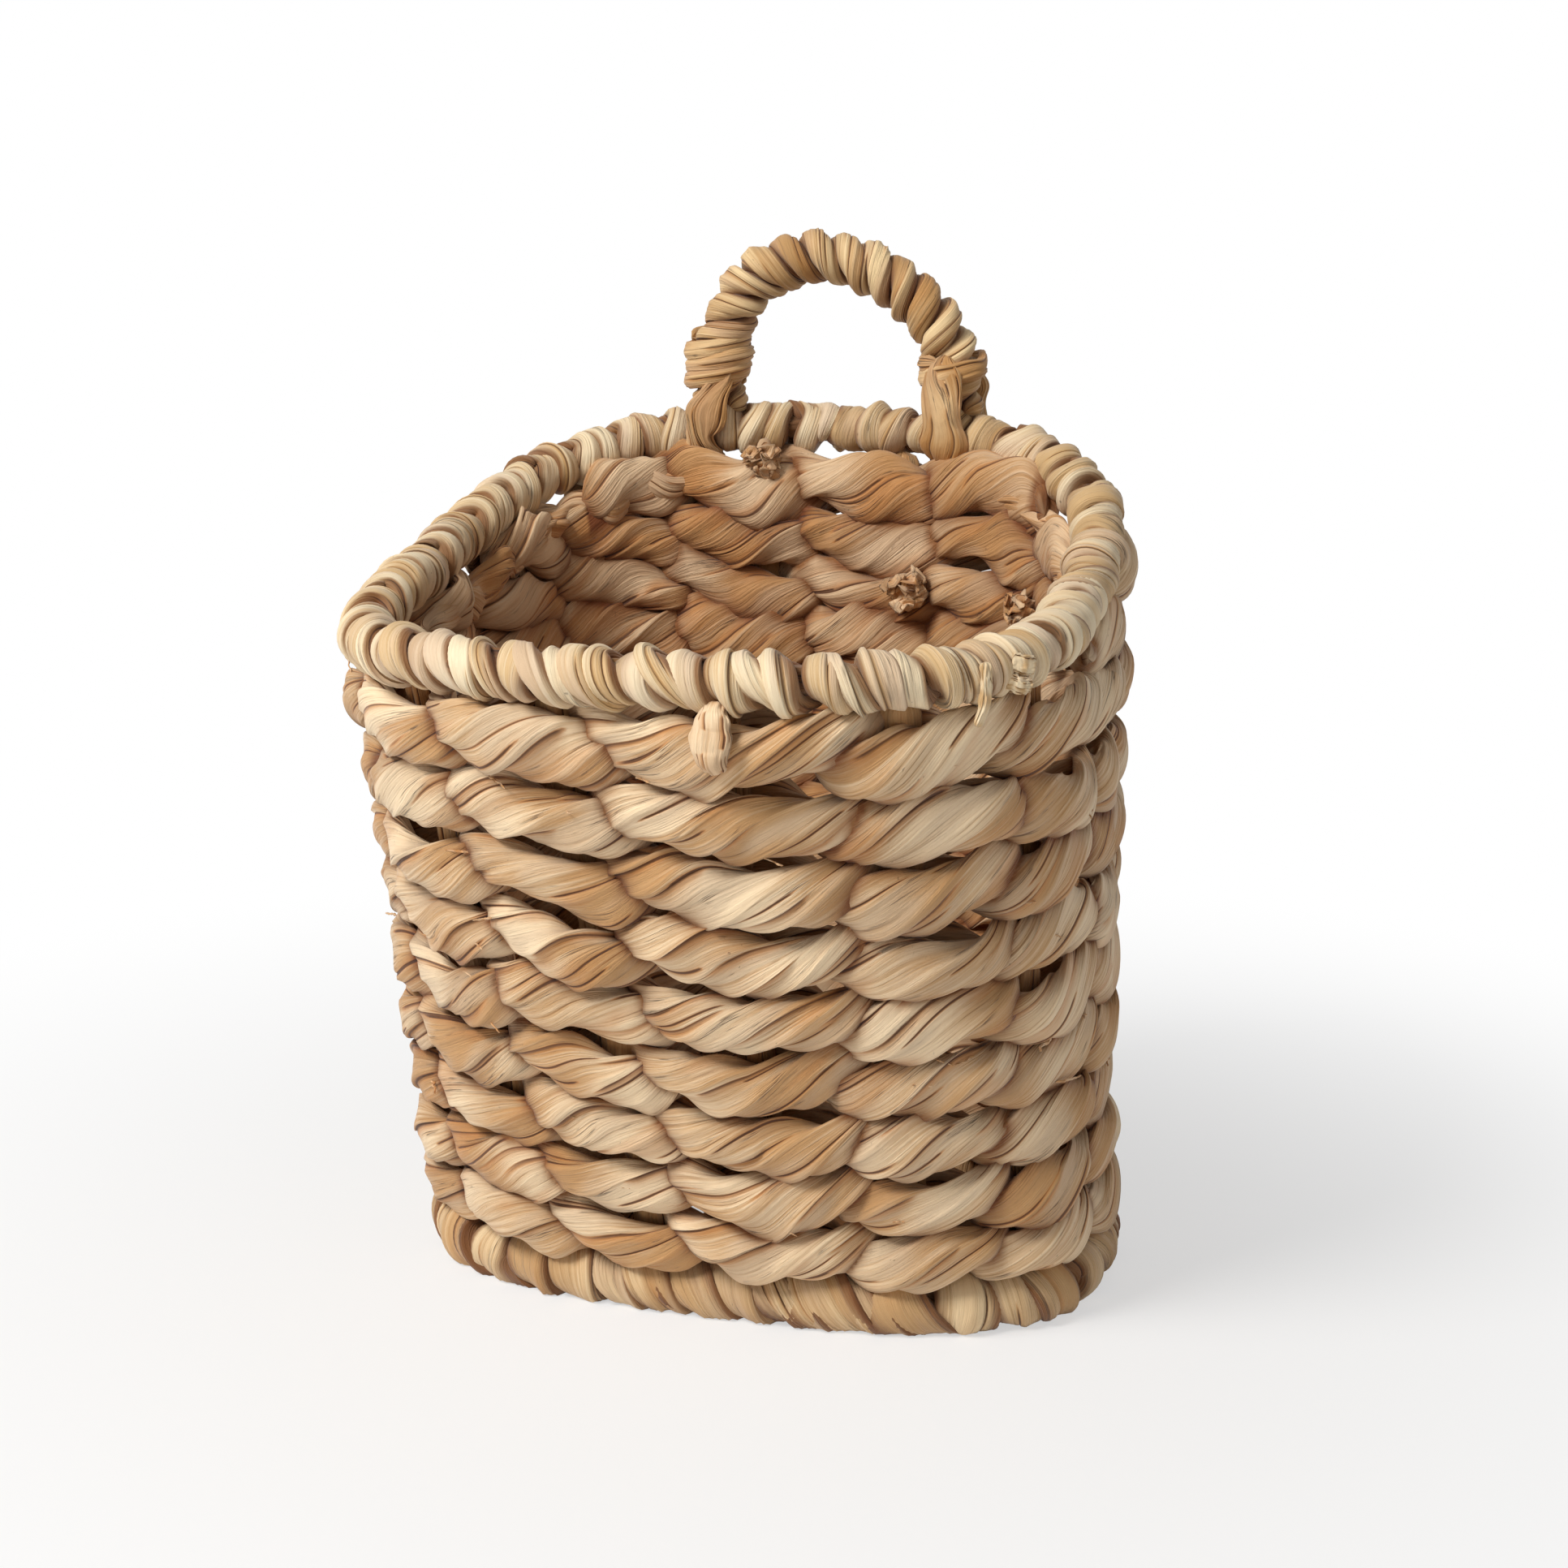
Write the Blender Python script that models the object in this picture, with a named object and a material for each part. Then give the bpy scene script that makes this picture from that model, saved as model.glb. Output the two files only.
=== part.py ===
# Hanging wall basket, twined from twisted strands of dried water plant.
# Upright stakes stand round a D-like plan, pairs of strands twine round them row by row,
# a wrapped hoop closes the top, a wrapped roll carries the foot, and a rope loop hangs it.
# Metres, +Z up, the wall side is +Y and the front is -Y. The origin is the middle of the
# overall box at its bottom, where the foot stands.

import math

import bmesh
import bpy
import numpy as np
from mathutils import Vector

for old in list(bpy.data.objects):
    bpy.data.objects.remove(old)

# Driving dimensions

CLEARANCE = 0.0003

RIM_HALF_WIDTH = 0.105
RIM_HALF_DEPTH = 0.106
RIM_CENTRE_Y = -0.0016
RIM_SQUARENESS = 2.87
RIM_FRONT_HEIGHT = 0.2166
RIM_BACK_RISE = 0.0500

BASE_HALF_WIDTH = 0.104
BASE_HALF_DEPTH = 0.0590
BASE_CENTRE_Y = 0.0294
BASE_SQUARENESS = 2.85

STAKE_COUNT = 14
STAKE_HALF_THICK = 0.0029
STAKE_HALF_WIDTH = 0.0046
WALL_INSET = 0.0020

FULL_ROWS = 9
ROW_TOP_HEIGHT = 0.1990
ROW_BOTTOM_HEIGHT = 0.0300
ROW_BACK_DROP = 0.0045
SHORT_ROW_PITCH_FRONT = 0.0200
SHORT_ROW_PITCH_BACK = 0.0168
SHORT_ROWS = 3
SHORT_ROW_FIRST_RING = 1

STRAND_OFFSET = 0.0077
STRAND_HALF_THICK = 0.0036
STRAND_CROSS_THICK = 0.0040
STRAND_FULLNESS = 0.88
STRAND_SAG = 0.06
STRAND_SIDES = 6
RINGS_PER_GAP = 3
LAY_TURNS_FROM_STAKE = 7
LAY_TURNS_TO_STAKE = 11
ROW_CLEARANCE = 0.0002
SHORT_ROW_TIP = 0.5

FRAME_STEP = 0.002
HEIGHT_STEP = 0.010
FLAT_DOWN = math.pi / 6.0

RIM_WRAP_TURNS = 80
RIM_WRAP_RADIUS = 0.0080
RIM_GROOVE_RADIUS = 0.0069
RIM_BORE_RADIUS = 0.0046
RIM_CORE_RADIUS = 0.0035
RIM_WRAP_PIECES = 4
RIM_TURNS_PER_CORE_RING = 2
RIM_PIECE_GAP = 0.0007
WRAP_SLANT = 0.0042
BORE_SLANT = 0.6

BASE_WRAP_TURNS = 30
BASE_WRAP_RADIUS = 0.0100
BASE_GROOVE_RADIUS = 0.0086
BASE_WRAP_CUT = 0.0005
BASE_WRAP_SHOULDER = 0.24
BASE_SLANT = 0.7

HANDLE_CENTRE_X = 0.0009
HANDLE_HALF_SPAN = 0.0412
HANDLE_TOP_HEIGHT = 0.3237
HANDLE_LEAN = 0.0060
HANDLE_FOOT_ABOVE_RIM = 0.0140
PLY_HALF_THICK = 0.0038
PLY_OFFSET = 0.0048
PLY_TURNS = 7
PLY_RINGS_PER_TURN = 7
PLY_CORNER_REACH = 1.2
HANDLE_LEG_STEPS = 8
HANDLE_ARCH_STEPS = 64

LASHING_WIDTH = 0.0125
LASHING_THICKNESS = 0.0026
LASHING_RISE = 0.0260
LASHING_KNEE = 0.0143
LASHING_SEAT = 0.0060
LASHING_BEND_STEPS = 8

FOLD_STAKE = 11
FOLD_STATIONS = (
    (0.0020, 0.0104, 0.0040, 0.0009),
    (0.0085, 0.0128, 0.0042, 0.0010),
    (0.0160, 0.0135, 0.0046, 0.0016),
    (0.0205, 0.0134, 0.0048, 0.0018),
    (0.0235, 0.0126, 0.0030, 0.0010),
)

FLOOR_ROD_COUNT = 4
FLOOR_ROD_RADIUS = 0.0026
FLOOR_ROD_HEIGHT = 0.0088
FLOOR_ROD_SPACING = 0.0400
FLOOR_WEFT_COUNT = 4
FLOOR_WEFT_HALF_THICK = 0.0019
FLOOR_WEFT_PITCH = 0.0235
FLOOR_WEFT_SHOULDER = 0.0040
FLOOR_WEFT_END = 0.0020
FLOOR_WEFT_INSET = 0.0060

# Materials and collections

product = bpy.data.collections.new("hanging_basket")
bpy.context.scene.collection.children.link(product)


def make_material(name, colour, roughness):
    material = bpy.data.materials.new(name)
    material.use_nodes = True
    shader = material.node_tree.nodes["Principled BSDF"]
    shader.inputs["Base Color"].default_value = (*colour, 1.0)
    shader.inputs["Roughness"].default_value = roughness
    shader.inputs["Metallic"].default_value = 0.0
    return material


WEAVER = make_material("weaver_strand", (0.60, 0.42, 0.24), 0.72)
STAKE = make_material("stake_rod", (0.50, 0.33, 0.17), 0.75)
RIM = make_material("rim_strand", (0.64, 0.49, 0.28), 0.70)
BASE = make_material("base_strand", (0.57, 0.41, 0.24), 0.74)
HANDLE = make_material("handle_rope", (0.58, 0.41, 0.21), 0.70)
CORE = make_material("core_rod", (0.46, 0.33, 0.19), 0.78)
FLOOR = make_material("floor_strand", (0.52, 0.37, 0.21), 0.76)

# Plan curves: two superellipses, each walked by equal shares of its length


def plan_outline(half_width, half_depth, centre_y, squareness, steps=1440):
    points = []
    for step in range(steps + 1):
        angle = 2.0 * math.pi * step / steps
        c = math.cos(angle)
        s = math.sin(angle)
        x = half_width * math.copysign(abs(c) ** (2.0 / squareness), c)
        y = half_depth * math.copysign(abs(s) ** (2.0 / squareness), s)
        points.append((x, centre_y + y))
    points = np.array(points)
    lengths = np.hypot(*np.diff(points, axis=0).T)
    travelled = np.concatenate([[0.0], np.cumsum(lengths)])
    return points, travelled / travelled[-1]


RIM_PLAN = plan_outline(RIM_HALF_WIDTH, RIM_HALF_DEPTH, RIM_CENTRE_Y, RIM_SQUARENESS)
BASE_PLAN = plan_outline(BASE_HALF_WIDTH, BASE_HALF_DEPTH, BASE_CENTRE_Y, BASE_SQUARENESS)
RIM_WALL = plan_outline(
    RIM_HALF_WIDTH - WALL_INSET, RIM_HALF_DEPTH - WALL_INSET, RIM_CENTRE_Y, RIM_SQUARENESS
)
BASE_WALL = plan_outline(
    BASE_HALF_WIDTH - WALL_INSET, BASE_HALF_DEPTH - WALL_INSET, BASE_CENTRE_Y, BASE_SQUARENESS
)


def on_plan(plan, share):
    points, shares = plan
    share = share % 1.0
    return (
        float(np.interp(share, shares, points[:, 0])),
        float(np.interp(share, shares, points[:, 1])),
    )


def backness(y):
    """0 at the front of the rim, 1 at its back."""
    return min(max((y - RIM_CENTRE_Y + RIM_HALF_DEPTH) / (2.0 * RIM_HALF_DEPTH), 0.0), 1.0)


def rim_height(y):
    return RIM_FRONT_HEIGHT + RIM_BACK_RISE * backness(y) ** 2


BASE_AXIS_HEIGHT = BASE_WRAP_RADIUS * math.cos(FLAT_DOWN) - BASE_WRAP_CUT


def wall_point(share, height):
    """A point of the wall's middle surface: straight lines join the foot and the rim."""
    x0, y0 = on_plan(BASE_WALL, share)
    x1, y1 = on_plan(RIM_WALL, share)
    top = rim_height(y1)
    part = (height - BASE_AXIS_HEIGHT) / (top - BASE_AXIS_HEIGHT)
    return Vector((x0 + (x1 - x0) * part, y0 + (y1 - y0) * part, height))


def stake_share(index):
    return index / STAKE_COUNT


# Row heights. Full rows count down from the rim, short rows fill in under the raised back.


def row_height(row, share):
    back = backness(on_plan(RIM_WALL, share)[1])
    if row >= 1:
        step = (ROW_TOP_HEIGHT - ROW_BOTTOM_HEIGHT) / (FULL_ROWS - 1)
        level = ROW_TOP_HEIGHT - step * (row - 1)
        part = (level - ROW_BOTTOM_HEIGHT) / (ROW_TOP_HEIGHT - ROW_BOTTOM_HEIGHT)
        return level - ROW_BACK_DROP * back * part
    pitch = SHORT_ROW_PITCH_FRONT + (SHORT_ROW_PITCH_BACK - SHORT_ROW_PITCH_FRONT) * back
    return row_height(1, share) + pitch * (1 - row)


def row_room(row, share):
    """The height that one row may fill at this place without touching its neighbours."""
    here = row_height(row, share)
    above = row_height(row - 1, share) - here
    if row == FULL_ROWS:
        foot = BASE_AXIS_HEIGHT + BASE_WRAP_RADIUS + CLEARANCE
        return min(above, 2.0 * (here - foot))
    return min(above, here - row_height(row + 1, share))


# Mesh helpers


def finish_mesh(name, vertices, faces, material, smooth_angle=50.0):
    mesh = bpy.data.meshes.new(name)
    mesh.from_pydata([tuple(v) for v in vertices], [], faces)
    mesh.validate()
    work = bmesh.new()
    work.from_mesh(mesh)
    bmesh.ops.recalc_face_normals(work, faces=work.faces)
    work.to_mesh(mesh)
    work.free()
    mesh.materials.append(material)
    mesh.shade_smooth()
    mesh.set_sharp_from_angle(angle=math.radians(smooth_angle))
    piece = bpy.data.objects.new(name, mesh)
    product.objects.link(piece)
    return piece


def loft(name, rings, material, closed):
    """Joins rings of equal count into one body; an open run is closed by a face at each end."""
    sides = len(rings[0])
    count = len(rings)
    vertices = [point for ring in rings for point in ring]
    faces = []
    spans = count if closed else count - 1
    for i in range(spans):
        a = i * sides
        b = ((i + 1) % count) * sides
        for j in range(sides):
            k = (j + 1) % sides
            faces.append((a + j, a + k, b + k, b + j))
    if not closed:
        faces.append(tuple(range(sides)))
        faces.append(tuple((count - 1) * sides + j for j in range(sides)))
    return finish_mesh(name, vertices, faces, material)


def sleeve(name, outer, inner, material):
    """A tube with a bore: the outer and inner runs of rings meet in a flat collar at each end."""
    sides = len(outer[0])
    vertices = [point for ring in outer for point in ring]
    start = len(vertices)
    vertices += [point for ring in inner for point in ring]
    faces = []
    for first, rings in ((0, outer), (start, inner)):
        for i in range(len(rings) - 1):
            a = first + i * sides
            b = a + sides
            for j in range(sides):
                k = (j + 1) % sides
                faces.append((a + j, a + k, b + k, b + j))
    ends = ((0, start), ((len(outer) - 1) * sides, start + (len(inner) - 1) * sides))
    for a, b in ends:
        for j in range(sides):
            k = (j + 1) % sides
            faces.append((a + j, a + k, b + k, b + j))
    return finish_mesh(name, vertices, faces, material)


def rod(name, points, radius, material, cyclic=False, resolution=2):
    curve = bpy.data.curves.new(name, "CURVE")
    curve.dimensions = "3D"
    curve.bevel_depth = radius
    curve.bevel_resolution = resolution
    curve.use_fill_caps = True
    spline = curve.splines.new("POLY")
    spline.points.add(len(points) - 1)
    for knot, point in zip(spline.points, points):
        knot.co = (*point, 1.0)
    spline.use_cyclic_u = cyclic
    curve.materials.append(material)
    piece = bpy.data.objects.new(name, curve)
    product.objects.link(piece)
    return piece


def ellipse_ring(centre, side_axis, up_axis, half_side, half_up, sides=STRAND_SIDES):
    """Corners at the top and bottom; the flats that face the stake lie at half_side."""
    reach = half_side / math.cos(math.pi / sides)
    ring = []
    for j in range(sides):
        angle = math.pi / 2.0 + 2.0 * math.pi * j / sides
        ring.append(
            centre + side_axis * (reach * math.cos(angle)) + up_axis * (half_up * math.sin(angle))
        )
    return ring


def wall_axes(share, height, ahead, behind):
    """Outward through the wall and up along it, for a run that goes from behind to ahead."""
    tangent = (ahead - behind).normalized()
    upward = (wall_point(share, height + HEIGHT_STEP) - wall_point(share, height)).normalized()
    outward = tangent.cross(upward).normalized()
    return tangent, outward, upward


# Stakes stand between the foot roll and the rim roll, leaning with the wall. Each is a bundle
# of stems pressed flat by the strands.


def stake(index):
    share = stake_share(index)
    foot = BASE_AXIS_HEIGHT + BASE_WRAP_RADIUS * math.cos(FLAT_DOWN) + CLEARANCE
    head = rim_height(on_plan(RIM_WALL, share)[1]) - RIM_WRAP_RADIUS - 2.0 * CLEARANCE
    lean = (wall_point(share, head) - wall_point(share, foot)).normalized()
    tip = STAKE_HALF_WIDTH * math.sqrt(1.0 - lean.z ** 2)
    rings = []
    for height in (foot + tip, (foot + head) / 2.0, head - tip):
        ahead = wall_point(share + FRAME_STEP, height)
        behind = wall_point(share - FRAME_STEP, height)
        tangent, outward, _ = wall_axes(share, height, ahead, behind)
        centre = wall_point(share, height)
        rings.append(ellipse_ring(centre, outward, tangent, STAKE_HALF_THICK, STAKE_HALF_WIDTH))
    loft("stake_%02d" % (index + 1), rings, STAKE, False)


for index in range(STAKE_COUNT):
    stake(index)


# Twined strands. Each row has two strands half a turn apart: at every stake one passes in
# front and the other behind, and they change places by crossing between the stakes. A strand
# hangs a little low in front and a little high behind. It climbs over its partner after it
# has passed in front, except on the left part of the front, where the lay turns over.


def lay_sign(share):
    turned = stake_share(LAY_TURNS_FROM_STAKE) < share < stake_share(LAY_TURNS_TO_STAKE)
    return -1.0 if turned else 1.0


def strand_ring(row, share, phase, shrink=1.0):
    height = row_height(row, share)
    centre = wall_point(share, height)
    ahead = wall_point(share + FRAME_STEP, row_height(row, share + FRAME_STEP))
    behind = wall_point(share - FRAME_STEP, row_height(row, share - FRAME_STEP))
    _, outward, upward = wall_axes(share, height, ahead, behind)
    room = row_room(row, share)
    turn = math.pi * share * STAKE_COUNT + phase
    across = math.cos(turn)
    climb = math.sin(turn) * lay_sign(share)
    low_half = room * STRAND_FULLNESS / 4.0
    high_half = room * STRAND_FULLNESS / 2.0
    rise = low_half / math.sin(math.pi / RINGS_PER_GAP)
    crossing = math.cos(math.pi / RINGS_PER_GAP) ** 2
    fat = max((across ** 2 - crossing) / (1.0 - crossing), 0.0)
    tall = low_half + (high_half - low_half) * fat - ROW_CLEARANCE
    thick = STRAND_CROSS_THICK + (STRAND_HALF_THICK - STRAND_CROSS_THICK) * fat
    lift = rise * climb - STRAND_SAG * room * across
    middle = centre + outward * (STRAND_OFFSET * across) + upward * lift
    return ellipse_ring(middle, outward, upward, thick * shrink, tall * shrink)


STEP = 1.0 / (STAKE_COUNT * RINGS_PER_GAP)

for row in range(1, FULL_ROWS + 1):
    for letter, phase in (("a", math.pi * (row % 2)), ("b", math.pi * (1 - row % 2))):
        rings = []
        for i in range(STAKE_COUNT * RINGS_PER_GAP):
            rings.append(strand_ring(row, stake_share(0) + i * STEP, phase))
        loft("row_%d_%s" % (row, letter), rings, WEAVER, True)

# Short rows round the raised back; their ends taper off between two stakes

for number in range(SHORT_ROWS):
    row = -number
    first = SHORT_ROW_FIRST_RING + number * RINGS_PER_GAP
    last = STAKE_COUNT // 2 * RINGS_PER_GAP - first
    for letter, phase in (("a", math.pi * (row % 2)), ("b", math.pi * (1 - row % 2))):
        rings = []
        for i in range(first - 1, last + 2):
            shrink = SHORT_ROW_TIP if i in (first - 1, last + 1) else 1.0
            rings.append(strand_ring(row, i * STEP, phase, shrink))
        loft("back_row_%d_%s" % (number + 1, letter), rings, WEAVER, False)


# Rim: a hoop of rod inside a wrapping. The wrapping's rings slant, so its turns read as a coil.


def rim_frame(share):
    x, y = on_plan(RIM_PLAN, share)
    xa, ya = on_plan(RIM_PLAN, share - FRAME_STEP)
    xb, yb = on_plan(RIM_PLAN, share + FRAME_STEP)
    tangent = Vector((xb - xa, yb - ya, rim_height(yb) - rim_height(ya))).normalized()
    outward = tangent.cross(Vector((0.0, 0.0, 1.0))).normalized()
    upward = outward.cross(tangent).normalized()
    return Vector((x, y, rim_height(y))), tangent, outward, upward


def roll_ring(frame, radius, slant, sides=6, spin=0.0):
    centre, tangent, outward, upward = frame
    ring = []
    for j in range(sides):
        angle = spin + 2.0 * math.pi * (j + 0.5) / sides
        lift = math.sin(angle)
        ring.append(
            centre
            + outward * (radius * math.cos(angle))
            + upward * (radius * lift)
            - tangent * (slant * lift)
        )
    return ring


turns_per_piece = RIM_WRAP_TURNS // RIM_WRAP_PIECES
core_stations = RIM_WRAP_TURNS // RIM_TURNS_PER_CORE_RING
rim_length = float(np.hypot(*np.diff(RIM_PLAN[0], axis=0).T).sum())
rim_gap = RIM_PIECE_GAP / rim_length
for piece in range(RIM_WRAP_PIECES):
    outer = []
    inner = []
    begin = piece * turns_per_piece
    for turn in range(turns_per_piece):
        for part, radius in ((0.0, RIM_GROOVE_RADIUS), (0.5, RIM_WRAP_RADIUS)):
            share = (begin + turn + part) / RIM_WRAP_TURNS
            if turn == 0 and part == 0.0:
                share += rim_gap / 2.0
            outer.append(roll_ring(rim_frame(share), radius, WRAP_SLANT))
    share = (begin + turns_per_piece) / RIM_WRAP_TURNS - rim_gap / 2.0
    outer.append(roll_ring(rim_frame(share), RIM_GROOVE_RADIUS, WRAP_SLANT))
    for turn in range(0, turns_per_piece + 1, RIM_TURNS_PER_CORE_RING):
        share = (begin + turn) / RIM_WRAP_TURNS
        if turn == 0:
            share += rim_gap / 2.0
        if turn == turns_per_piece:
            share -= rim_gap / 2.0
        inner.append(roll_ring(rim_frame(share), RIM_BORE_RADIUS, WRAP_SLANT * BORE_SLANT))
    sleeve("rim_wrap_%d" % (piece + 1), outer, inner, RIM)

core_rings = []
for station in range(core_stations):
    share = station * RIM_TURNS_PER_CORE_RING / RIM_WRAP_TURNS
    core_rings.append(roll_ring(rim_frame(share), RIM_CORE_RADIUS, 0.0))
loft("rim_core", core_rings, CORE, True)


# Foot roll: fat turns, each with two full rings and a waist, cut flat where it stands


def base_frame(share):
    x, y = on_plan(BASE_PLAN, share)
    xa, ya = on_plan(BASE_PLAN, share - FRAME_STEP)
    xb, yb = on_plan(BASE_PLAN, share + FRAME_STEP)
    tangent = Vector((xb - xa, yb - ya, 0.0)).normalized()
    outward = tangent.cross(Vector((0.0, 0.0, 1.0))).normalized()
    return Vector((x, y, BASE_AXIS_HEIGHT)), tangent, outward, Vector((0.0, 0.0, 1.0))


base_rings = []
for turn in range(BASE_WRAP_TURNS):
    stations = (
        (0.00, BASE_GROOVE_RADIUS),
        (BASE_WRAP_SHOULDER, BASE_WRAP_RADIUS),
        (1.0 - BASE_WRAP_SHOULDER, BASE_WRAP_RADIUS),
    )
    for part, radius in stations:
        frame = base_frame((turn + part) / BASE_WRAP_TURNS)
        ring = roll_ring(frame, radius, WRAP_SLANT * BASE_SLANT, spin=FLAT_DOWN)
        for point in ring:
            point.z = max(point.z, 0.0)
        base_rings.append(ring)
loft("base_roll", base_rings, BASE, True)


# Floor: flat strands laid over and under short rods inside the foot roll

floor_edge_x = BASE_HALF_WIDTH - BASE_WRAP_RADIUS - 2.0 * CLEARANCE
floor_edge_y = BASE_HALF_DEPTH - BASE_WRAP_RADIUS - 2.0 * CLEARANCE


def floor_reach_x(y):
    part = min(abs(y - BASE_CENTRE_Y) / floor_edge_y, 1.0)
    return floor_edge_x * (1.0 - part ** BASE_SQUARENESS) ** (1.0 / BASE_SQUARENESS)


def floor_reach_y(x):
    part = min(abs(x) / floor_edge_x, 1.0)
    return floor_edge_y * (1.0 - part ** BASE_SQUARENESS) ** (1.0 / BASE_SQUARENESS)


for index in range(FLOOR_ROD_COUNT):
    x = FLOOR_ROD_SPACING * (index - (FLOOR_ROD_COUNT - 1) / 2.0)
    reach = floor_reach_y(abs(x) + FLOOR_ROD_RADIUS) - CLEARANCE
    ends = [
        Vector((x, BASE_CENTRE_Y - reach, FLOOR_ROD_HEIGHT)),
        Vector((x, BASE_CENTRE_Y + reach, FLOOR_ROD_HEIGHT)),
    ]
    rod("floor_rod_%d" % (index + 1), ends, FLOOR_ROD_RADIUS, CORE, resolution=1)

weft_swing = FLOOR_ROD_RADIUS + FLOOR_WEFT_HALF_THICK + CLEARANCE
edge_rod = FLOOR_ROD_SPACING * (FLOOR_ROD_COUNT - 1) / 2.0
half_wide = FLOOR_WEFT_PITCH / 2.0 - CLEARANCE
for index in range(FLOOR_WEFT_COUNT):
    offset = FLOOR_WEFT_PITCH * (index - (FLOOR_WEFT_COUNT - 1) / 2.0)
    reach = floor_reach_x(BASE_CENTRE_Y + abs(offset) - half_wide + FLOOR_WEFT_INSET) - CLEARANCE
    stations = [-reach, reach]
    x = -edge_rod
    while x <= edge_rod + 1e-6:
        shoulders = (x - FLOOR_WEFT_SHOULDER, x + FLOOR_WEFT_SHOULDER)
        stations += [s for s in shoulders if abs(s) < reach - FLOOR_WEFT_END]
        x += FLOOR_ROD_SPACING
    side = 1.0 if index % 2 else -1.0
    rings = []
    for station in sorted(stations):
        nearest = round(station / FLOOR_ROD_SPACING - 0.5)
        sign = side * (1.0 if nearest % 2 else -1.0)
        limit = floor_reach_y(station) - CLEARANCE
        low = max(offset - half_wide, -limit)
        high = min(offset + half_wide, limit)
        middle_y = BASE_CENTRE_Y + (low + high) / 2.0
        centre = Vector((station, middle_y, FLOOR_ROD_HEIGHT + sign * weft_swing))
        rings.append(
            ellipse_ring(
                centre, Vector((0.0, 0.0, 1.0)), Vector((0.0, 1.0, 0.0)),
                FLOOR_WEFT_HALF_THICK, (high - low) / 2.0,
            )
        )
    loft("floor_strand_%d" % (index + 1), rings, FLOOR, False)


# Handle: two plies of rope twisted round each other along an arch


def rim_share_at(x):
    """The place on the back of the rim that lies at this x."""
    share = 0.25
    for _ in range(40):
        share += (on_plan(RIM_PLAN, share)[0] - x) * 1.2
    return share


def handle_axis():
    """The arch's middle line, walked by length: two short legs and a half ring between them."""
    back_y = on_plan(RIM_PLAN, rim_share_at(HANDLE_HALF_SPAN))[1]
    foot = rim_height(back_y) + HANDLE_FOOT_ABOVE_RIM
    spring = HANDLE_TOP_HEIGHT - HANDLE_HALF_SPAN
    points = []
    for step in range(HANDLE_LEG_STEPS + 1):
        part = step / HANDLE_LEG_STEPS
        points.append((HANDLE_HALF_SPAN, foot + (spring - foot) * part))
    for step in range(1, HANDLE_ARCH_STEPS):
        angle = math.pi * step / HANDLE_ARCH_STEPS
        points.append((HANDLE_HALF_SPAN * math.cos(angle), spring + HANDLE_HALF_SPAN * math.sin(angle)))
    for step in range(HANDLE_LEG_STEPS + 1):
        part = step / HANDLE_LEG_STEPS
        points.append((-HANDLE_HALF_SPAN, spring + (foot - spring) * part))
    shaped = []
    for x, z in points:
        lean = HANDLE_LEAN * max((z - foot) / (HANDLE_TOP_HEIGHT - foot), 0.0) ** 2
        shaped.append((HANDLE_CENTRE_X + x - lean, back_y, z))
    shaped = np.array(shaped)
    lengths = np.linalg.norm(np.diff(shaped, axis=0), axis=1)
    travelled = np.concatenate([[0.0], np.cumsum(lengths)])
    return shaped, travelled / travelled[-1]


HANDLE_LINE = handle_axis()


def handle_point(share):
    points, shares = HANDLE_LINE
    return Vector([float(np.interp(share, shares, points[:, k])) for k in range(3)])


handle_length = float(np.linalg.norm(np.diff(HANDLE_LINE[0], axis=0), axis=1).sum())
ply_advance = handle_length / PLY_TURNS
ply_climb = math.atan2(ply_advance, 2.0 * math.pi * PLY_OFFSET)
coil_spacing = ply_advance / 2.0 * math.cos(ply_climb)
for letter, start in (("a", 0.0), ("b", math.pi)):
    rings = []
    total = PLY_TURNS * PLY_RINGS_PER_TURN
    for i in range(total + 1):
        share = i / total
        centre = handle_point(share)
        ahead = handle_point(min(share + 0.01, 1.0)) - handle_point(max(share - 0.01, 0.0))
        ahead.normalize()
        depth = Vector((0.0, 1.0, 0.0))
        across = ahead.cross(depth).normalized()
        angle = start + 2.0 * math.pi * i / PLY_RINGS_PER_TURN
        away = depth * math.cos(angle) + across * math.sin(angle)
        around = ahead.cross(away)
        travel = ahead * ply_advance + around * (2.0 * math.pi * PLY_OFFSET)
        width_axis = travel.normalized().cross(away)
        middle = centre + away * PLY_OFFSET
        crowding = 1.0 - math.sin(angle) * PLY_OFFSET / HANDLE_HALF_SPAN
        half_width = coil_spacing * crowding / 2.0 - CLEARANCE
        rings.append(ellipse_ring(middle, away, width_axis, PLY_HALF_THICK, half_width))
    loft("handle_ply_" + letter, rings, HANDLE, False)


# Lashings: flat straps that hold each foot of the handle to the rim, bent round the roll

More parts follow.
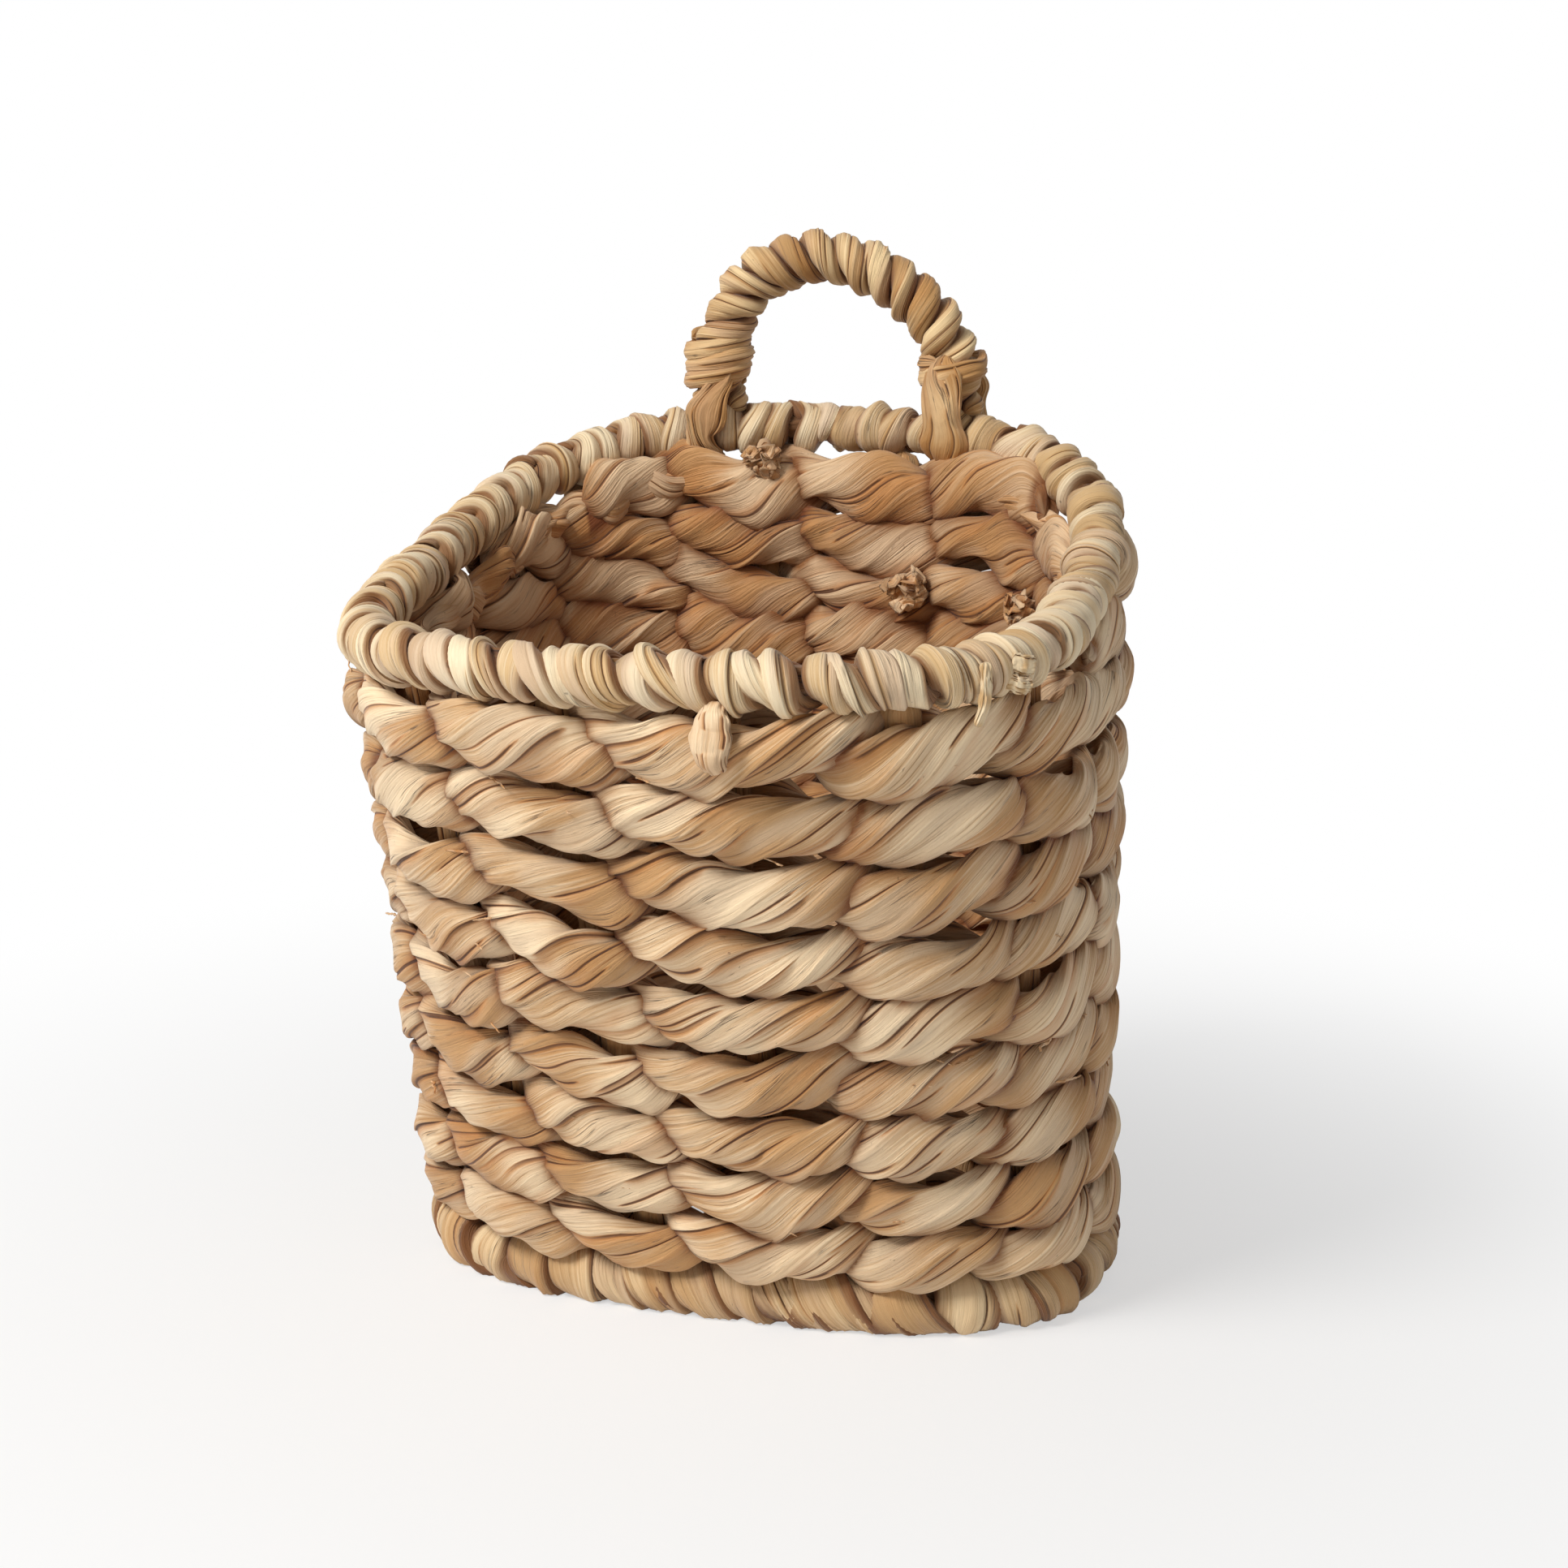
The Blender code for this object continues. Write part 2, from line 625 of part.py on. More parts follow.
LASH_AWAY = RIM_WRAP_RADIUS + LASHING_THICKNESS / 2.0 + CLEARANCE
LASH_LEG = PLY_OFFSET + PLY_HALF_THICK * PLY_CORNER_REACH + LASHING_THICKNESS / 2.0 + CLEARANCE
for name, x in (("left", -HANDLE_HALF_SPAN), ("right", HANDLE_HALF_SPAN)):
    rim_centre, tangent, outward, upward = rim_frame(rim_share_at(x))
    route = []
    leg = ((LASHING_RISE, LASH_LEG), (LASHING_KNEE, LASH_LEG), (LASHING_SEAT, LASH_AWAY))
    for lift, away in leg:
        route.append((away, lift, 0.0))
    for step in range(1, LASHING_BEND_STEPS):
        angle = -math.pi * step / LASHING_BEND_STEPS
        route.append((LASH_AWAY * math.cos(angle), LASH_AWAY * math.sin(angle), angle))
    for away, lift, _ in reversed(route[:len(leg)]):
        route.append((-away, lift, -math.pi))
    rings = []
    for away, lift, angle in route:
        centre = rim_centre + outward * away + upward * lift
        normal = outward * math.cos(angle) + upward * math.sin(angle)
        ring = []
        for along, deep in ((-1, -1), (1, -1), (1, 1), (-1, 1)):
            ring.append(
                centre
                + tangent * (along * LASHING_WIDTH / 2.0)
                + normal * (deep * LASHING_THICKNESS / 2.0)
            )
        rings.append(ring)
    loft("handle_lashing_" + name, rings, HANDLE, False)


# A folded strand end that comes out under the rim at one front stake and lies over the top row

fold_share = stake_share(FOLD_STAKE)
fold_frame = rim_frame(fold_share)
fold_rings = []
for drop, away, half_wide, half_thick in FOLD_STATIONS:
    height = fold_frame[0].z - drop
    centre = wall_point(fold_share, height)
    ahead = wall_point(fold_share + FRAME_STEP, height)
    behind = wall_point(fold_share - FRAME_STEP, height)
    _, outward, _ = wall_axes(fold_share, height, ahead, behind)
    centre = centre + outward * away
    fold_rings.append(ellipse_ring(centre, outward, fold_frame[1], half_thick, half_wide, sides=8))
loft("folded_end", fold_rings, RIM, False)
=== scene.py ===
# Hanging wall basket, twined from twisted strands of dried water plant: the finished look.
# Every strand is a swept leaf roll with its folds, in its solid's row and round its stakes.
# Metres, +Z up, the wall side is +Y, the front is -Y, the foot stands on z = 0.

import math
from collections import namedtuple

import bpy
import numpy as np
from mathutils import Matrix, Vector


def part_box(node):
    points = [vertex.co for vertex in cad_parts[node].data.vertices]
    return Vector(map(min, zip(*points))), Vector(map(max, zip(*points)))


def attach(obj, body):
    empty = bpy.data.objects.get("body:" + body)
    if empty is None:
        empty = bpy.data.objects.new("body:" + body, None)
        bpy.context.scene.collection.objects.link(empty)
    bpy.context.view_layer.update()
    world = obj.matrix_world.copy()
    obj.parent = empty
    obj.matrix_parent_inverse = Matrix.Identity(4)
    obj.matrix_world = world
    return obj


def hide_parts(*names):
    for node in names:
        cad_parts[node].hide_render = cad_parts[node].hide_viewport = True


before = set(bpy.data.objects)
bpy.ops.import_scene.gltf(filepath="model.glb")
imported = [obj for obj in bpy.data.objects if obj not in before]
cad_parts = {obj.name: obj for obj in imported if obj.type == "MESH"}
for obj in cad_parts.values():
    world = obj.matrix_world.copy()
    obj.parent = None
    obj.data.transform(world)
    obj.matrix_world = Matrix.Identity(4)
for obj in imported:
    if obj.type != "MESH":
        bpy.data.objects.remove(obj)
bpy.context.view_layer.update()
BODY = "root"

# Driving dimensions, shared with the solids

RIM_HALF_WIDTH = 0.105
RIM_HALF_DEPTH = 0.106
RIM_CENTRE_Y = -0.0016
RIM_SQUARENESS = 2.87
RIM_FRONT_HEIGHT = 0.2166
RIM_BACK_RISE = 0.0500

BASE_HALF_WIDTH = 0.104
BASE_HALF_DEPTH = 0.0590
BASE_CENTRE_Y = 0.0294
BASE_SQUARENESS = 2.85
BASE_AXIS_HEIGHT = 0.0082
WALL_INSET = 0.0020

STAKE_COUNT = 14
FULL_ROWS = 9
SHORT_ROWS = 3
ROW_TOP_HEIGHT = 0.1990
ROW_BOTTOM_HEIGHT = 0.0300
ROW_BACK_DROP = 0.0045
SHORT_ROW_PITCH_FRONT = 0.0200
SHORT_ROW_PITCH_BACK = 0.0168
STRAND_OFFSET = 0.0077
STRAND_SAG = 0.08

RIM_TURNS = (20, 20, 24, 22)
BASE_WRAP_TURNS = 40

HANDLE_CENTRE_X = 0.0009
HANDLE_HALF_SPAN = 0.0412
HANDLE_TOP_HEIGHT = 0.3237
HANDLE_LEAN = 0.0060
HANDLE_FOOT_ABOVE_RIM = 0.0140
PLY_OFFSET = 0.0048
PLY_TURNS = 7

# The shares of the wall where the lay of the weave turns over: the back, and the front's left

LAY_TURNS = ((1 / STAKE_COUNT, 6 / STAKE_COUNT), (7 / STAKE_COUNT, 11 / STAKE_COUNT))


# Colours, as they look on a screen


def tint(red, green, blue):
    """A screen colour from 0 to 255, as the linear colour that a shader takes."""
    linear = []
    for value in (red, green, blue):
        part = value / 255.0
        linear.append(part / 12.92 if part <= 0.04045 else ((part + 0.055) / 1.055) ** 2.4)
    return (*linear, 1.0)


# Small helpers for waves and vectors

UP = np.array([0.0, 0.0, 1.0])
SHARE_STEP = 0.002
HEIGHT_STEP = 0.01


class Drift:
    """A smooth wandering value along a piece, from about -1 to 1, made of a few sine waves."""

    def __init__(self, rng, slowest, fastest, waves=6, whole=True):
        count = rng.uniform(slowest, fastest, waves)
        self.count = np.round(count) if whole else count
        self.phase = rng.uniform(0.0, 1.0, waves)
        self.size = 1.0 / math.sqrt(waves / 2.0)

    def __call__(self, share):
        share = np.asarray(share, float)[..., None]
        return self.size * np.sin(2.0 * np.pi * (self.count * share + self.phase)).sum(-1)


def wobble(rng, slowest, fastest, share):
    """A drift along a piece whose two ends don't meet."""
    return Drift(rng, slowest, fastest, whole=False)(share)


def unit(vectors):
    return vectors / np.linalg.norm(vectors, axis=-1, keepdims=True)


def smooth_step(low, high, value):
    part = np.clip((value - low) / (high - low), 0.0, 1.0)
    return part * part * (3.0 - 2.0 * part)


def travelled(points):
    """The length walked along the points, from 0 at the first."""
    steps = np.linalg.norm(np.diff(points, axis=0), axis=1)
    return np.concatenate([[0.0], np.cumsum(steps)])


# Plan curves: two superellipses, each walked by equal shares of its length


def plan_outline(half_width, half_depth, centre_y, squareness, steps=2880):
    angle = np.linspace(0.0, 2.0 * np.pi, steps + 1)
    c = np.cos(angle)
    s = np.sin(angle)
    x = half_width * np.sign(c) * np.abs(c) ** (2.0 / squareness)
    y = half_depth * np.sign(s) * np.abs(s) ** (2.0 / squareness)
    points = np.stack([x, centre_y + y], axis=1)
    lengths = travelled(points)
    return points, lengths / lengths[-1]


RIM_PLAN = plan_outline(RIM_HALF_WIDTH, RIM_HALF_DEPTH, RIM_CENTRE_Y, RIM_SQUARENESS)
BASE_PLAN = plan_outline(BASE_HALF_WIDTH, BASE_HALF_DEPTH, BASE_CENTRE_Y, BASE_SQUARENESS)
RIM_WALL = plan_outline(
    RIM_HALF_WIDTH - WALL_INSET, RIM_HALF_DEPTH - WALL_INSET, RIM_CENTRE_Y, RIM_SQUARENESS
)
BASE_WALL = plan_outline(
    BASE_HALF_WIDTH - WALL_INSET, BASE_HALF_DEPTH - WALL_INSET, BASE_CENTRE_Y, BASE_SQUARENESS
)


def on_plan(plan, share):
    points, shares = plan
    share = np.mod(share, 1.0)
    return np.interp(share, shares, points[:, 0]), np.interp(share, shares, points[:, 1])


def backness(y):
    """0 at the front of the rim, 1 at its back."""
    return np.clip((y - RIM_CENTRE_Y + RIM_HALF_DEPTH) / (2.0 * RIM_HALF_DEPTH), 0.0, 1.0)


def rim_height(y):
    return RIM_FRONT_HEIGHT + RIM_BACK_RISE * backness(y) ** 2


def rim_height_at(share):
    return rim_height(on_plan(RIM_WALL, share)[1])


def wall_point(share, height):
    """A point of the wall's middle surface: straight lines join the foot and the rim."""
    x0, y0 = on_plan(BASE_WALL, share)
    x1, y1 = on_plan(RIM_WALL, share)
    part = (height - BASE_AXIS_HEIGHT) / (rim_height(y1) - BASE_AXIS_HEIGHT)
    return np.stack([x0 + (x1 - x0) * part, y0 + (y1 - y0) * part, height + 0.0 * x0], axis=-1)


def row_height(row, share):
    back = backness(on_plan(RIM_WALL, share)[1])
    if row >= 1:
        step = (ROW_TOP_HEIGHT - ROW_BOTTOM_HEIGHT) / (FULL_ROWS - 1)
        level = ROW_TOP_HEIGHT - step * (row - 1)
        part = (level - ROW_BOTTOM_HEIGHT) / (ROW_TOP_HEIGHT - ROW_BOTTOM_HEIGHT)
        return level - ROW_BACK_DROP * back * part
    pitch = SHORT_ROW_PITCH_FRONT + (SHORT_ROW_PITCH_BACK - SHORT_ROW_PITCH_FRONT) * back
    return row_height(1, share) + pitch * (1 - row)


def row_room(row, share):
    """The height that one row may fill at this place."""
    here = row_height(row, share)
    above = row_height(row - 1, share) - here
    if row == FULL_ROWS:
        return above
    return np.minimum(above, here - row_height(row + 1, share))


# Mesh building


Roll = namedtuple("Roll", "points across along values closed")


def leaf_mesh(name, roll):
    """A tube skin through rings of points, with its lay as a map and its values on the points."""
    points, lay_across, lay_along, values, closed = roll
    rings, sides = points.shape[:2]
    spans = rings if closed else rings - 1
    i = np.arange(spans)[:, None]
    j = np.arange(sides)[None, :]
    i_next = (i + 1) % rings
    j_next = (j + 1) % sides
    quads = np.stack(
        [i * sides + j, i * sides + j_next, i_next * sides + j_next, i_next * sides + j], axis=-1
    ).reshape(-1, 4)
    width = lay_across[-1] - lay_across[0]
    across = np.append(lay_across, lay_across[0] + width * sides / (sides - 1))
    along = lay_along
    if closed:
        along = np.append(lay_along, lay_along[-1] + lay_along[1] - lay_along[0])
    one = np.ones_like(i + j)
    map_x = np.stack([across[k] * one for k in (j, j + 1, j + 1, j)], axis=-1)
    map_y = np.stack([along[k] * one for k in (i, i, i + 1, i + 1)], axis=-1)
    lay = np.stack([map_x, map_y], axis=-1).reshape(-1, 2)

    flat = points.reshape(-1, 3)
    corners = flat[quads]
    volume = np.einsum("ij,ij->i", corners[:, 0], np.cross(corners[:, 1], corners[:, 2])).sum()
    volume += np.einsum("ij,ij->i", corners[:, 0], np.cross(corners[:, 2], corners[:, 3])).sum()
    if volume < 0.0:
        quads = quads[:, ::-1]
        lay = lay.reshape(-1, 4, 2)[:, ::-1].reshape(-1, 2)
    loops = quads.reshape(-1)
    starts = np.arange(len(quads)) * 4
    totals = np.full(len(quads), 4)
    if not closed:
        first = np.arange(sides)
        last = (rings - 1) * sides + np.arange(sides)
        if volume >= 0.0:
            first = first[::-1]
        else:
            last = last[::-1]
        loops = np.concatenate([loops, first, last])
        starts = np.concatenate([starts, [len(quads) * 4, len(quads) * 4 + sides]])
        totals = np.concatenate([totals, [sides, sides]])
        lay = np.concatenate([lay, np.zeros((2 * sides, 2))])

    mesh = bpy.data.meshes.new(name)
    mesh.vertices.add(len(flat))
    mesh.vertices.foreach_set("co", flat.astype(np.float32).reshape(-1))
    mesh.loops.add(len(loops))
    mesh.loops.foreach_set("vertex_index", loops.astype(np.int32))
    mesh.polygons.add(len(starts))
    mesh.polygons.foreach_set("loop_start", starts.astype(np.int32))
    mesh.polygons.foreach_set("loop_total", totals.astype(np.int32))
    mesh.update(calc_edges=True)
    lay_map = mesh.uv_layers.new(name="lay")
    lay_map.uv.foreach_set("vector", lay.astype(np.float32).reshape(-1))
    for key, value in values.items():
        attribute = mesh.attributes.new(key, "FLOAT", "POINT")
        spread = np.broadcast_to(value, (rings, sides)).astype(np.float32)
        attribute.data.foreach_set("value", spread.reshape(-1))
    mesh.validate()
    mesh.shade_smooth()
    return mesh


def add_object(name, data):
    made = bpy.data.objects.new(name, data)
    bpy.context.scene.collection.objects.link(made)
    return made


def place(name, roll, material, nodes=()):
    """Puts a leaf roll in the scene, in the place of the solids it stands for."""
    mesh = leaf_mesh(name, roll)
    mesh.materials.append(material)
    piece = add_object(name, mesh)
    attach(piece, BODY)
    if nodes:
        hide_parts(*nodes)


# A leaf roll: one strand of folded, twisted leaf along a path

EDGE_GAP = 0.05
CREASE_GAP = 0.07
RIDGE_GAP = 0.06
CRISPNESS = 24.0
RIB_WAVES = 7
TIP_RINGS = 3.0


def columns_round(edge_angles, crease_angles, ridge_angles, count):
    """The angles of a ring's corners, close together at each leaf edge, crease and ridge."""
    step = 2.0 * np.pi / count
    angles = np.arange(count) * step
    for mark in list(edge_angles) + list(crease_angles) + list(ridge_angles):
        angles = angles[np.abs((angles - mark + np.pi) % (2.0 * np.pi) - np.pi) > step * 0.55]
    marks = [angles, np.array(edge_angles) - EDGE_GAP, np.array(edge_angles)]
    for shift in (-1.0, 0.0, 1.0):
        marks.append(np.array(crease_angles) + shift * CREASE_GAP)
        marks.append(np.array(ridge_angles) + shift * RIDGE_GAP)
    return np.unique(np.round(np.mod(np.concatenate(marks), 2.0 * np.pi), 5))


def faceted(rng, around, bearings, share, slow, whole):
    """How far the flats and ridges of a pressed, twisted leaf stand out, about 1 on average."""
    total = 0.0
    for bearing in bearings:
        reach = 1.0 + rng.uniform(-0.05, 0.05)
        reach = reach + 0.05 * Drift(rng, slow * 0.5, slow, whole=whole)(share)
        facing = np.clip(np.cos(around[None, :] - bearing), 0.0, 1.0)
        total = total + (facing / reach[:, None]) ** CRISPNESS
    return 0.92 * np.minimum(total ** (-1.0 / CRISPNESS), 1.26)


def leaf_edge(rng, around, edge_at, span, share, slow, whole, height):
    """One edge of a rolled leaf: its step outward, the painted shade behind it and the leaf's own
    tone.
    """
    comes = Drift(rng, slow * 0.5, slow * 1.6, whole=whole)(share)
    present = smooth_step(-0.6, 0.25, comes)[:, None]
    ahead = np.mod(around - edge_at, 2.0 * np.pi)[None, :]
    behind = np.mod(edge_at - around, 2.0 * np.pi)[None, :]
    width = rng.uniform(0.9, 1.6)
    step = height * rng.uniform(0.6, 1.35) * present * np.clip(1.0 - ahead / width, 0.0, 1.0)
    hidden = behind > 1e-4
    shade = present * hidden * (0.8 * np.exp(-behind / 0.07) + 0.35 * np.exp(-behind / 0.35))
    tone = np.where(ahead <= span - 0.03, rng.uniform(-0.5, 0.5), 0.0)
    return step, shade, tone


def crease(rng, around, crease_at, share, slow, whole, depth):
    """A crease pressed into the leaf, which comes and goes along the strand, with a painted shade
    line in it and painted shade beside it.
    """
    comes = Drift(rng, slow * 0.8, slow * 2.2, whole=whole)(share)
    present = smooth_step(-0.2, 0.6, comes)[:, None]
    off = np.abs(np.mod(around - crease_at + np.pi, 2.0 * np.pi) - np.pi)[None, :]
    line = present * (off < CREASE_GAP * 0.5)
    near = present * np.exp(-(off / 0.16) ** 2)
    return depth * rng.uniform(0.6, 1.4) * (line + 0.6 * near), 0.75 * line + 0.18 * near


def leaf_roll(
    rng, centre, side, up, half_side, half_up, closed=False, twist=75.0, edges=4, creases=6,
    edge_height=0.0007, crease_depth=0.0003, rib=0.0002, count=38, twist_start=0.0, warmth=0.0,
    seed=0.0, square=1.0, tone_swing=0.45, flats=1.0, wander=0.2,
):
    """Rings of a rolled leaf. side and up span each ring; twist is in radians for each metre."""
    length = travelled(centre)
    whole_length = length[-1]
    if closed:
        whole_length += np.linalg.norm(centre[0] - centre[-1])
    share = length / whole_length
    turning = twist * whole_length
    if closed:
        turning = 2.0 * np.pi * round(turning / (2.0 * np.pi))
    slow = max(1.5, whole_length * 12.0)
    fast = max(3.0, whole_length * 40.0)
    drift = Drift(rng, 1, max(2.0, slow), whole=closed)
    roll = twist_start + turning * share + wander * (drift(share) - drift(0.0))

    edge_at = np.sort((np.arange(edges) + rng.uniform(0.15, 0.85, edges)) * 2.0 * np.pi / edges)
    crease_at = rng.uniform(0.0, 2.0 * np.pi, creases)
    sides = int(rng.integers(4, 6))
    bearings = (np.arange(sides) + rng.uniform(-0.2, 0.2, sides)) * 2.0 * np.pi / sides
    ridges = (bearings + np.append(bearings[1:], bearings[0] + 2.0 * np.pi)) / 2.0
    around = columns_round(edge_at, crease_at, ridges, count)
    angle = around[None, :] + roll[:, None]
    c = np.cos(angle)
    s = np.sin(angle)
    shape_side = np.sign(c) * np.abs(c) ** square
    shape_up = np.sign(s) * np.abs(s) ** square
    skin = 1.0 + flats * (faceted(rng, around, bearings, share, slow, closed) - 1.0)

    lift = np.zeros_like(angle)
    fold_shade = np.zeros_like(angle)
    tone = np.zeros_like(angle)
    for k in range(edges):
        span = np.mod(edge_at[(k + 1) % edges] - edge_at[k], 2.0 * np.pi)
        step, shade, own_tone = leaf_edge(
            rng, around, edge_at[k], span, share, slow, closed, edge_height
        )
        lift += step
        fold_shade = np.maximum(fold_shade, shade)
        tone += own_tone
    for k in range(creases):
        sunk, shade = crease(rng, around, crease_at[k], share, slow, closed, crease_depth)
        lift -= sunk
        fold_shade = np.maximum(fold_shade, shade)
    for _ in range(RIB_WAVES):
        number = rng.integers(4, 15)
        swing = 2.0 * Drift(rng, slow * 0.4, slow, whole=closed)(share)
        grow = 0.5 + 0.5 * Drift(rng, slow, fast, whole=closed)(share)
        wave = np.cos(number * around[None, :] + swing[:, None] + rng.uniform(0.0, 2.0 * np.pi))
        lift += rib * 0.45 * grow[:, None] * np.sign(wave) * np.abs(wave) ** 0.7

    half_side = np.broadcast_to(half_side, share.shape)[:, None]
    half_up = np.broadcast_to(half_up, share.shape)[:, None]
    normal_side = c * half_up
    normal_up = s * half_side
    norm = np.sqrt(normal_side ** 2 + normal_up ** 2) + 1e-9
    reach_side = half_side * shape_side * skin + lift * normal_side / norm
    reach_up = half_up * shape_up * skin + lift * normal_up / norm
    points = (
        centre[:, None, :]
        + side[:, None, :] * reach_side[..., None]
        + up[:, None, :] * reach_up[..., None]
    )
    tone = tone + tone_swing * Drift(rng, slow * 0.6, slow * 1.8, whole=closed)(share)[:, None]
    mean_radius = float(np.mean(half_side) + np.mean(half_up)) / 2.0
    # The values carry the painted shade behind leaf edges and in creases, and the painted shade of
    # nearby parts, which each piece sets later.
    values = {"fold_shade": fold_shade, "tone": tone, "warmth": warmth, "leaf": seed, "deep": 0.0}
    return Roll(points, around * mean_radius, length, values, closed)


def taper(roll, path, reach=TIP_RINGS):
    """Draws the first and last rings in to the path, so that a strand ends in a closed tip."""
    rings = len(roll.points)
    run = np.minimum(np.arange(rings), np.arange(rings)[::-1]) / reach
    keep = np.sqrt(np.clip(1.0 - (1.0 - np.clip(run, 0.0, 1.0)) ** 2, 0.02 ** 2, 1.0))
    points = path[:, None, :] + (roll.points - path[:, None, :]) * keep[:, None, None]
    return roll._replace(points=points)


# Materials


def add(tree, kind, inputs=None, **settings):
    """A new node with its settings; an input is a value or the socket that feeds it."""
    node = tree.nodes.new(kind)
    for key, value in settings.items():
        setattr(node, key, value)
    for key, value in (inputs or {}).items():
        if isinstance(value, bpy.types.NodeSocket):
            tree.links.new(value, node.inputs[key])
        else:
            node.inputs[key].default_value = value
    return node


def maths(tree, operation, first, second=0.0, clamp=False):
    node = add(tree, "ShaderNodeMath", {0: first, 1: second}, operation=operation, use_clamp=clamp)
    return node.outputs[0]


def stretch(tree, value, low, high, out_low=0.0, out_high=1.0):
    node = add(
        tree, "ShaderNodeMapRange",
        {"Value": value, "From Min": low, "From Max": high, "To Min": out_low, "To Max": out_high},
        interpolation_type="SMOOTHSTEP",
    )
    return node.outputs["Result"]


def blend(tree, factor, first, second, kind="MIX"):
    inputs = {0: factor, 6: first, 7: second}
    return add(tree, "ShaderNodeMix", inputs, data_type="RGBA", blend_type=kind).outputs[2]


def new_group(name, inputs, outputs):
    """A shader node group with named sockets, and its two end nodes."""
    group = bpy.data.node_groups.new(name, "ShaderNodeTree")
    for label, kind, default in inputs:
        made = group.interface.new_socket(name=label, in_out="INPUT", socket_type=kind)
        if default is not None:
            made.default_value = default
    for label, kind in outputs:
        group.interface.new_socket(name=label, in_out="OUTPUT", socket_type=kind)
    return group, group.nodes.new("NodeGroupInput"), group.nodes.new("NodeGroupOutput")


def streaks_along(tree, lay, seed, across, along, detail, shift):
    """Noise drawn out along the leaf: across and along are features for each metre."""
    split = add(tree, "ShaderNodeSeparateXYZ", {0: lay})
    x = maths(tree, "MULTIPLY", split.outputs[0], across)
    y = maths(tree, "MULTIPLY", split.outputs[1], along)
    z = maths(tree, "ADD", maths(tree, "MULTIPLY", seed, 3.71), shift)
    where = add(tree, "ShaderNodeCombineXYZ", {0: x, 1: y, 2: z})
    noise = add(
        tree, "ShaderNodeTexNoise",
        {"Vector": where.outputs[0], "Scale": 1.0, "Detail": detail, "Roughness": 0.6},
    )
    return noise.outputs["Fac"]


def make_fibre_group():
    """Fibres, fine lines, splits and blotches of a dried leaf, all along its lay."""
    group, start, end = new_group(
        "dried leaf fibres",
        [("Lay", "NodeSocketVector", None), ("Leaf", "NodeSocketFloat", 0.0)],
        [
            ("Streak", "NodeSocketFloat"), ("Split", "NodeSocketFloat"),
            ("Blotch", "NodeSocketFloat"), ("Speck", "NodeSocketFloat"),
            ("Height", "NodeSocketFloat"),
        ],
    )
    lay = start.outputs["Lay"]
    leaf = start.outputs["Leaf"]
    broad = streaks_along(group, lay, leaf, 480.0, 14.0, 4.0, 0.0)
    fine = streaks_along(group, lay, leaf, 1700.0, 34.0, 4.0, 11.0)
    veins = streaks_along(group, lay, leaf, 360.0, 11.0, 4.0, 23.0)
    where_split = streaks_along(group, lay, leaf, 190.0, 42.0, 2.0, 37.0)
    blotch = streaks_along(group, lay, leaf, 70.0, 24.0, 2.0, 51.0)
    dots = streaks_along(group, lay, leaf, 900.0, 700.0, 1.0, 67.0)
    dotted = streaks_along(group, lay, leaf, 60.0, 40.0, 1.0, 71.0)
    off_vein = maths(group, "ABSOLUTE", maths(group, "SUBTRACT", veins, 0.5))
    split = maths(
        group, "MULTIPLY",
        stretch(group, off_vein, 0.0, 0.013, 1.0, 0.0),
        stretch(group, where_split, 0.52, 0.66),
    )
    streak = maths(
        group, "ADD", maths(group, "MULTIPLY", broad, 0.26), maths(group, "MULTIPLY", fine, 0.98)
    )
    streak = maths(group, "SUBTRACT", streak, 0.12)
    speck = maths(
        group, "MULTIPLY", stretch(group, dots, 0.70, 0.78), stretch(group, dotted, 0.55, 0.68)
    )
    wrinkle = streaks_along(group, lay, leaf, 330.0, 110.0, 3.0, 83.0)
    height = maths(group, "SUBTRACT", streak, maths(group, "MULTIPLY", split, 0.55))
    height = maths(group, "ADD", height, maths(group, "MULTIPLY", wrinkle, 0.9))
    outputs = {"Streak": streak, "Split": split, "Blotch": blotch, "Speck": speck, "Height": height}
    for label, socket in outputs.items():
        group.links.new(socket, end.inputs[label])
    return group


COLOUR_INPUTS = ("Body", "Pale", "Warm", "Ash", "Dark", "Painted_shade_tint")
FIBRE_VALUES = ("Streak", "Split", "Blotch", "Speck")
VALUE_INPUTS = FIBRE_VALUES + ("Tone", "Fold_shade", "Warmth", "Deep")


